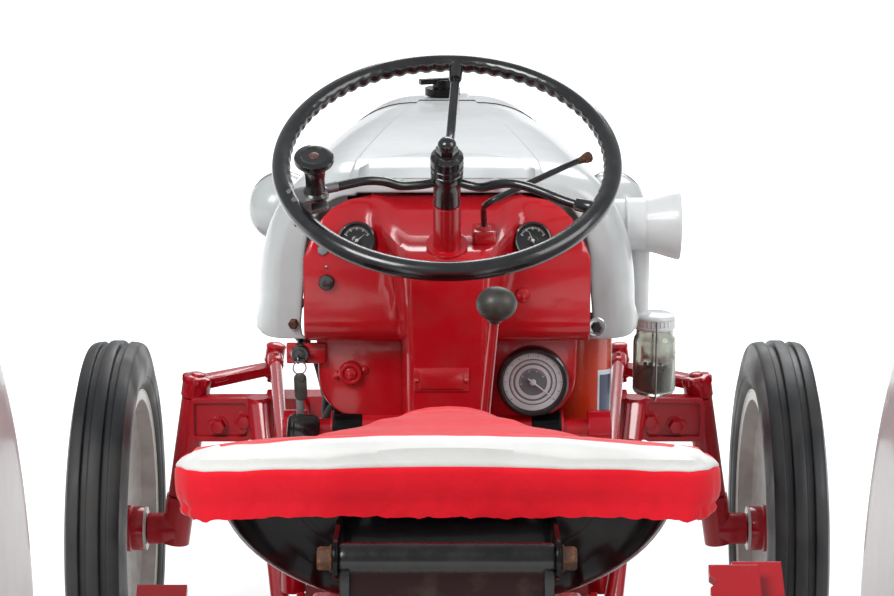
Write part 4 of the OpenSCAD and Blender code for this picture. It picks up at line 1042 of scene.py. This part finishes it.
support.slab((-94, -341, 990), (94, -334, 1046), 3, 1.6, 2)
support.slab((-146, -340, 987), (146, -332, 1006), 0, 1.6, 2)
support.slab((-150, -230, 868), (150, 40, 880), 0, 2.5, 8)
piece("seat_hinge", support, "red barrel_black iron brown_plate", "seat_support", sharp=40)

# Front tyres, wheels and the red hub drums
TRACK_X, AXLE_FRONT, HUB_Z = 609.5, 1778, 349
tyre_half = [(0, 349), (8.6, 349), (10.6, 348.2), (11.8, 341), (12.6, 339.6), (22, 339), (23.4, 340),
    (24.4, 346), (25.6, 346.8), (35, 345.8), (42.6, 343.6), (45.4, 341.2), (46.6, 335), (49.6, 323),
    (53.2, 309), (54, 301), (53.6, 292), (52.6, 283), (50.6, 280.6), (50.4, 277), (48.6, 272), (43.6, 266),
    (40.6, 264), (39.8, 260), (37.6, 256), (37, 243)]
tyre_rows = [(r, -x) for x, r in tyre_half[:0:-1]] + [(r, x) for x, r in tyre_half]
for side, word in SIDES:
    middle = (side * TRACK_X, AXLE_FRONT, HUB_Z)
    tyre = Form()
    tyre.turned(middle, RIGHT, tyre_rows + tyre_rows[:1], 0, 144, ends=False)
    body = "front_wheel_" + word
    piece("front_tyre_ribs_" + word, tyre, "tyre", "front_tyre_" + word, body, sharp=30)
    hub = Form()
    hub.turned(middle, (-side, 0, 0), [(30, -4), (40.6, -2), (40.6, 16), (43.4, 18), (43.4, 25), (40.8, 27),
        (40.8, 48), (38.6, 52), (30, 54.2), (18, 54.2)], 0, 48)
    for end in (-1, 1):
        hub.tube([off(middle, end * 42.4, *spun(257, a)) for a in turns(96, True)], 1.7, 1, 8)
    for a in turns(6):
        hub.bolt(off(middle, side * 24, *spun(60, a + 0.3)), (side, 0, 0), 17, 2, 11)
    hub.turned(middle, (side, 0, 0), [(32, 20), (33, 36), (30, 43.4), (22, 46), (0, 47)], 1, 36)
    piece("front_hub_" + word, hub, "axle_red cream iron", body=body)

# Front axle: bordered clamp plates, kingpin nuts and the ball joints of the drag links
axle = Form()
border = [(0, 0), (0, 6.8), (1.2, 8), (8.8, 8), (10, 6.8), (10, 0)]
axle.raised((411, 1731, 574.5), RIGHT, UP, rounded(114, 82, 15), border, 0, ends=False)
for x, z in ((415, 563), (368, 572)):
    axle.bolt((x, 1731, z), BACK, 24, 0, 18)
axle.turned((300, 1731, 562), BACK, [(15, -1), (15, 3), (13, 4), (13, 14), (9, 16), (0, 16.4)], 0, 28)
axle.mirrored()
piece("axle_plates", axle, "axle_red", sharp=35)
PIN_LEAN = radians(9)
# Each row of the cap: distance along the pin, radius and how far its lobes stand out
cap_rows = [(-37, 24.6, 0), (-36, 26.4, 0), (-14, 26.4, 0), (-12, 27.2, 0.6), (-2, 27.2, 1.6), (1, 26, 1.6),
    (2.4, 23, 1.2), (3, 12, 0)]
for side, word in SIDES:
    pin = Vector((-side * sin(PIN_LEAN), 0, cos(PIN_LEAN)))
    across, ahead = basis(pin)
    top = Vector((side * 455, AXLE_FRONT, 641))
    ball = Vector((side * 325, 1882, 629))
    cap = Form()
    rings = []
    for far, size, lobes in cap_rows:
        ring = []
        for a in turns(64):
            r = size + lobes * (1 if cos(7 * a) > 0 else -1)
            ring.append(top + far * pin + r * (cos(a) * across + sin(a) * ahead))
        rings.append(ring)
    cap.loft(rings)
    cap.turned(top + 2 * pin, pin, [(13, 0), (13, 3), (11, 5), (0, 6)], 0, 24)
    stud = [(0, -27), (8, -27), (8, -19), (13, -18.6), (13.6, -10), (15, -8.6), (17.2, -8)]
    cap.turned(ball, pin, stud, 0, 24)
    arm = smooth([top - 11 * pin, (side * 418, 1800, 632), (side * 366, 1856, 630), ball], 6)
    cap.tube(arm, [17] + [15 - 0.2 * i for i in range(17)] + [16], 0, 20, flat=0.62)
    piece("kingpin_cap_" + word, cap, "axle_red", body="knuckle_" + word, sharp=40)
    joint = Form()
    start = ball + 26 * pin
    joint.turned(start, pin, [(12, -15), (18.6, -14), (19, -10), (17.6, -8), (17.6, 12), (18.8, 14),
        (18.8, 17), (16, 20), (9, 22.6), (0, 23.4)], 0, 32)
    joint.turned(ball + 6 * pin, pin, [(10.2, 0), (14.6, 2), (15, 5), (12, 7)], 1, 24)
    along = (Vector((side * 222, 804, 608)) - start).normalized()
    joint.turned(start + 16 * along, along, [(10, 0), (14.4, 2), (14.4, 50), (13, 52), (11, 53)], 0, 24)
    joint.bolt(start + 46 * along + 12 * UP, UP, 11)
    piece("drag_joint_" + word, joint, "axle_red hose", body="drag_link_" + word, sharp=40)

# Pre-cleaner, its jar with dust and the wire that holds it
breather = Form()
breather.turned((0, JAR_Y, INTAKE_Z), RIGHT, [(0, 240), (37, 240), (37, 258), (39, 259), (39.8, 260.6),
    (39, 262.4), (38.6, 264), (38.6, 288), (39.6, 289.4), (39.8, 291), (40.4, 293), (41.6, 299),
    (43.8, 307), (46.8, 317), (49.6, 326), (51.2, 332), (52, 335.6), (51.8, 337.6), (50.6, 338.2),
    (49.4, 337), (47, 328), (43, 316), (38, 304), (34, 298), (20, 295), (0, 294.6)], 0, 64)
breather.turned((283, JAR_Y, 965), UP, [(0, 0), (17, 0), (17, 6), (14, 9), (13.4, 12), (13.4, 104),
    (14, 108), (18, 116), (0, 120)], 0, 36)
breather.turned((JAR_X, JAR_Y, 949), UP, [(0, 0), (29.6, 0), (30, 1), (30, 4), (28.6, 5), (28.6, 15),
    (29.4, 16), (28.4, 19), (24, 21.6), (0, 22)], 0, 56)
for a in turns(28):
    x, y = spun(28.5, a)
    breather.tube([(JAR_X + x, JAR_Y + y, 955), (JAR_X + x, JAR_Y + y, 964)], 0.9, 0, 6)
piece("breather_bowl", breather, "white iron", "pre_cleaner", sharp=35)
jar = Form()
jar.turned((JAR_X, JAR_Y, 850), UP, [(0, 0.4), (18, 1.2), (24, 0), (29, 1.6), (31.4, 6), (31.4, 79),
    (30, 85), (27.2, 89), (27, 99.4), (24.4, 99.4), (24.4, 89), (27.6, 83), (28.8, 78), (28.8, 8),
    (26, 4.6), (0, 4.4)], 0, 56)
piece("breather_jar", jar, "glass", "dust_jar", sharp=40)
dust = Form()
rings = []
for r, z in ((3, 855.2), (24, 855.2), (28.2, 859), (28.2, 880), (27, 883), (18, 885), (8, 887), (0.3, 887)):
    ring = []
    for a in turns(48):
        heap = 2.4 * sin(3 * a) + 1.5 * sin(5 * a + 1) if r > 5 and z > 870 else 0
        ring.append((JAR_X + r * cos(a), JAR_Y + r * sin(a), z + heap))
    rings.append(ring)
dust.loft(rings)
for i in range(7):
    x, y = spun(17, i * 2.4)
    dust.ball((JAR_X + x, JAR_Y + y, 889 + 2 * sin(i)), (3.4, 3.4, 2.8), 0, 12)
wire = [(917, 966), (915.5, 940), (915, 880), (917, 850), (928, 845.4), (950, 844.6), (972, 845.4),
    (983, 850), (985, 880), (984.5, 940), (983, 966)]
dust.tube(smooth([(JAR_X, y, z) for y, z in wire], 5), 1.5, 1, 8)
dust.turned((JAR_X, JAR_Y, 842), UP, [(0, 0), (6, 0), (7, 2), (7, 5), (5, 7), (0, 7.6)], 1, 20)
piece("breather_dust", dust, "dust steel", sharp=50)

# Oil filter with its blank label
CAN_X, CAN_Y = 190, 905
can = Form()
can.turned((CAN_X, CAN_Y, 752), UP, [(0, 0), (14, 0), (14, 3), (34, 4), (40, 10), (47, 24), (49.4, 29),
    (53, 30), (54, 32), (54, 36), (51, 38.6), (50, 40), (50, 62), (50.8, 63), (50.8, 66), (50, 67),
    (50, 210), (52.6, 212), (53, 214), (53, 218), (51, 220), (44, 220.4), (0, 219)], 0, 64)
can.bolt((CAN_X, CAN_Y, 970), UP, 20, 2)
for first, last, low, high, out, look in ((303, 341, 835, 906, 50.5, 1), (307, 337, 841, 899, 50.9, 3)):
    angles = [first + (last - first) * i / 16 for i in range(17)]
    rings = []
    for r, z in ((49, low), (out, low), (out, high), (49, high)):
        places = [spun(r, radians(a)) + (z - 0.12 * (a - 322),) for a in angles]
        rings.append([off((CAN_X, CAN_Y, 0), *place) for place in places])
    can.loft(rings, look, closed=False, ends=False)
can.slab((118, 886, 740), (168, 924, 800), 0, 3, 4)
piece("filter_can", can, "filter label steel label_blue", "oil_filter", sharp=35)

# Headlamps
LAMP = Vector((284, 1600, 994))
lamps = Form()
lamps.turned(LAMP, AHEAD, [(0, -66), (10, -65.4), (20, -63.2), (30, -59), (39, -53), (46.4, -45),
    (51.6, -35.6), (55, -25), (56.8, -13), (57.2, 0), (57.2, 12)], 0, 64)
lamps.turned(LAMP, AHEAD, [(56, 11), (57.6, 11), (58, 13), (57.2, 15), (57.4, 17), (58, 20), (58, 33),
    (57, 36.4), (54.6, 37.6), (52.4, 36.4), (52, 33)], 1, 64)
lamps.turned(LAMP, AHEAD, [(52.4, 32), (52, 34), (40, 35.4), (20, 36.6), (0, 37)], 2, 48)
for i in range(-4, 5):
    x = i * 10.4
    reach = sqrt(50 ** 2 - x ** 2) * 0.9
    lamps.tube([off(LAMP, x, y, z) for y, z in ((36, -reach), (36.6, 0), (36, reach))], 1.0, 2, 6)
lamps.tube([LAMP, (217, LAMP.y, LAMP.z)], 13, 0, 24)
lamps.turned((232, LAMP.y, LAMP.z), -RIGHT, [(13, -6), (18, -4), (20, 0), (20, 15)], 0, 28)
lamps.mirrored()
piece("headlamp_shells", lamps, "grey chrome lens", "headlamps", sharp=35)

# Cables and a fuel line by the left side of the dash, and dark caps on the steering shaft's boss
lines = Form()
line_paths = [
    (4.5, (-206, 792, 957), (-206, 820, 962), (-190, 850, 930), (-176, 880, 860), (-168, 940, 800),
     (-150, 1010, 780)),
    (6, (-150, 800, 940), (-168, 836, 900), (-176, 872, 830), (-160, 905, 770), (-128, 930, 740)),
    (7.5, (-120, 806, 900), (-160, 830, 868), (-186, 860, 800), (-182, 900, 730), (-140, 930, 690)),
    (4, (-196, 800, 968), (-214, 850, 960), (-226, 1000, 950), (-222, 1150, 940))]
for radius, *path in line_paths:
    lines.tube(smooth(path, 6), radius, 0, 12)
for side in (-1, 1):
    shaft_cap = [(29.4, 0), (31, 1), (31, 40), (29.4, 42), (26, 44)]
    lines.turned((side * 120, 804, 836), (side, 0, 0), shaft_cap, 1, 36)
piece("cables", lines, "hose black", sharp=35)

# Floor: far from the object it turns plain white, and near it the shadow stays
floor_data = bpy.data.meshes.new("floor")
floor_data.from_pydata([(-30, -30, 0), (30, -30, 0), (30, 30, 0), (-30, 30, 0)], [], [(0, 1, 2, 3)])
floor = bpy.data.objects.new("floor", floor_data)
objects.link(floor)
floor_look = Look("floor", 0.9)
floor_look.finish(rgb(220, 220, 218))
far = floor_look.node("ShaderNodeVectorMath", {0: floor_look.place}, operation="LENGTH").outputs["Value"]
fade = floor_look.node("ShaderNodeMapRange", {"Value": far, "From Min": 1.2, "From Max": 5.5, "To Min": 0.30,
                                        "To Max": 1.0})
# The glow is seen from the camera and in mirrors or glass, and lights nothing
rays = floor_look.node("ShaderNodeLightPath").outputs
seen = floor_look.plus(rays["Is Camera Ray"], rays["Is Glossy Ray"], clamp=True)
seen = floor_look.plus(seen, rays["Is Transmission Ray"], clamp=True)
glow = floor_look.node("ShaderNodeEmission", {"Strength": floor_look.times(fade.outputs[0], seen)})
both = floor_look.node("ShaderNodeAddShader", {0: floor_look.shader.outputs[0], 1: glow.outputs[0]})
floor_look.tree.links.new(both.outputs[0], floor_look.tree.nodes["Material Output"].inputs["Surface"])
floor_data.materials.append(floor_look.material)

# Light: a pale sky that the camera sees as plain white, and three soft lamps
world = bpy.data.worlds.new("studio")
bpy.context.scene.world = world
world.use_nodes = True
tree = world.node_tree
sky = tree.nodes["Background"]
sky.inputs["Color"].default_value = (0.93, 0.96, 1.0, 1)
sky.inputs["Strength"].default_value = 0.5
plain = tree.nodes.new("ShaderNodeBackground")
plain.inputs["Color"].default_value = (1, 1, 1, 1)
shown = tree.nodes.new("ShaderNodeMixShader")
tree.links.new(tree.nodes.new("ShaderNodeLightPath").outputs["Is Camera Ray"], shown.inputs[0])
tree.links.new(sky.outputs[0], shown.inputs[1])
tree.links.new(plain.outputs[0], shown.inputs[2])
tree.links.new(shown.outputs[0], tree.nodes["World Output"].inputs["Surface"])
lamp_rows = [("key", (-4.0, -5.0, 6.5), 3.5, 480), ("fill", (5.5, -2.5, 4.5), 4.0, 200),
             ("front", (1.0, 6.5, 5.0), 4.0, 240)]
for name, place, size, watts in lamp_rows:
    light = bpy.data.lights.new(name, "AREA")
    light.size = size
    light.energy = watts
    lamp = bpy.data.objects.new(name, light)
    lamp.location = place
    lamp.rotation_euler = (Vector((0, 0, 0.8)) - lamp.location).to_track_quat("-Z", "Y").to_euler()
    objects.link(lamp)
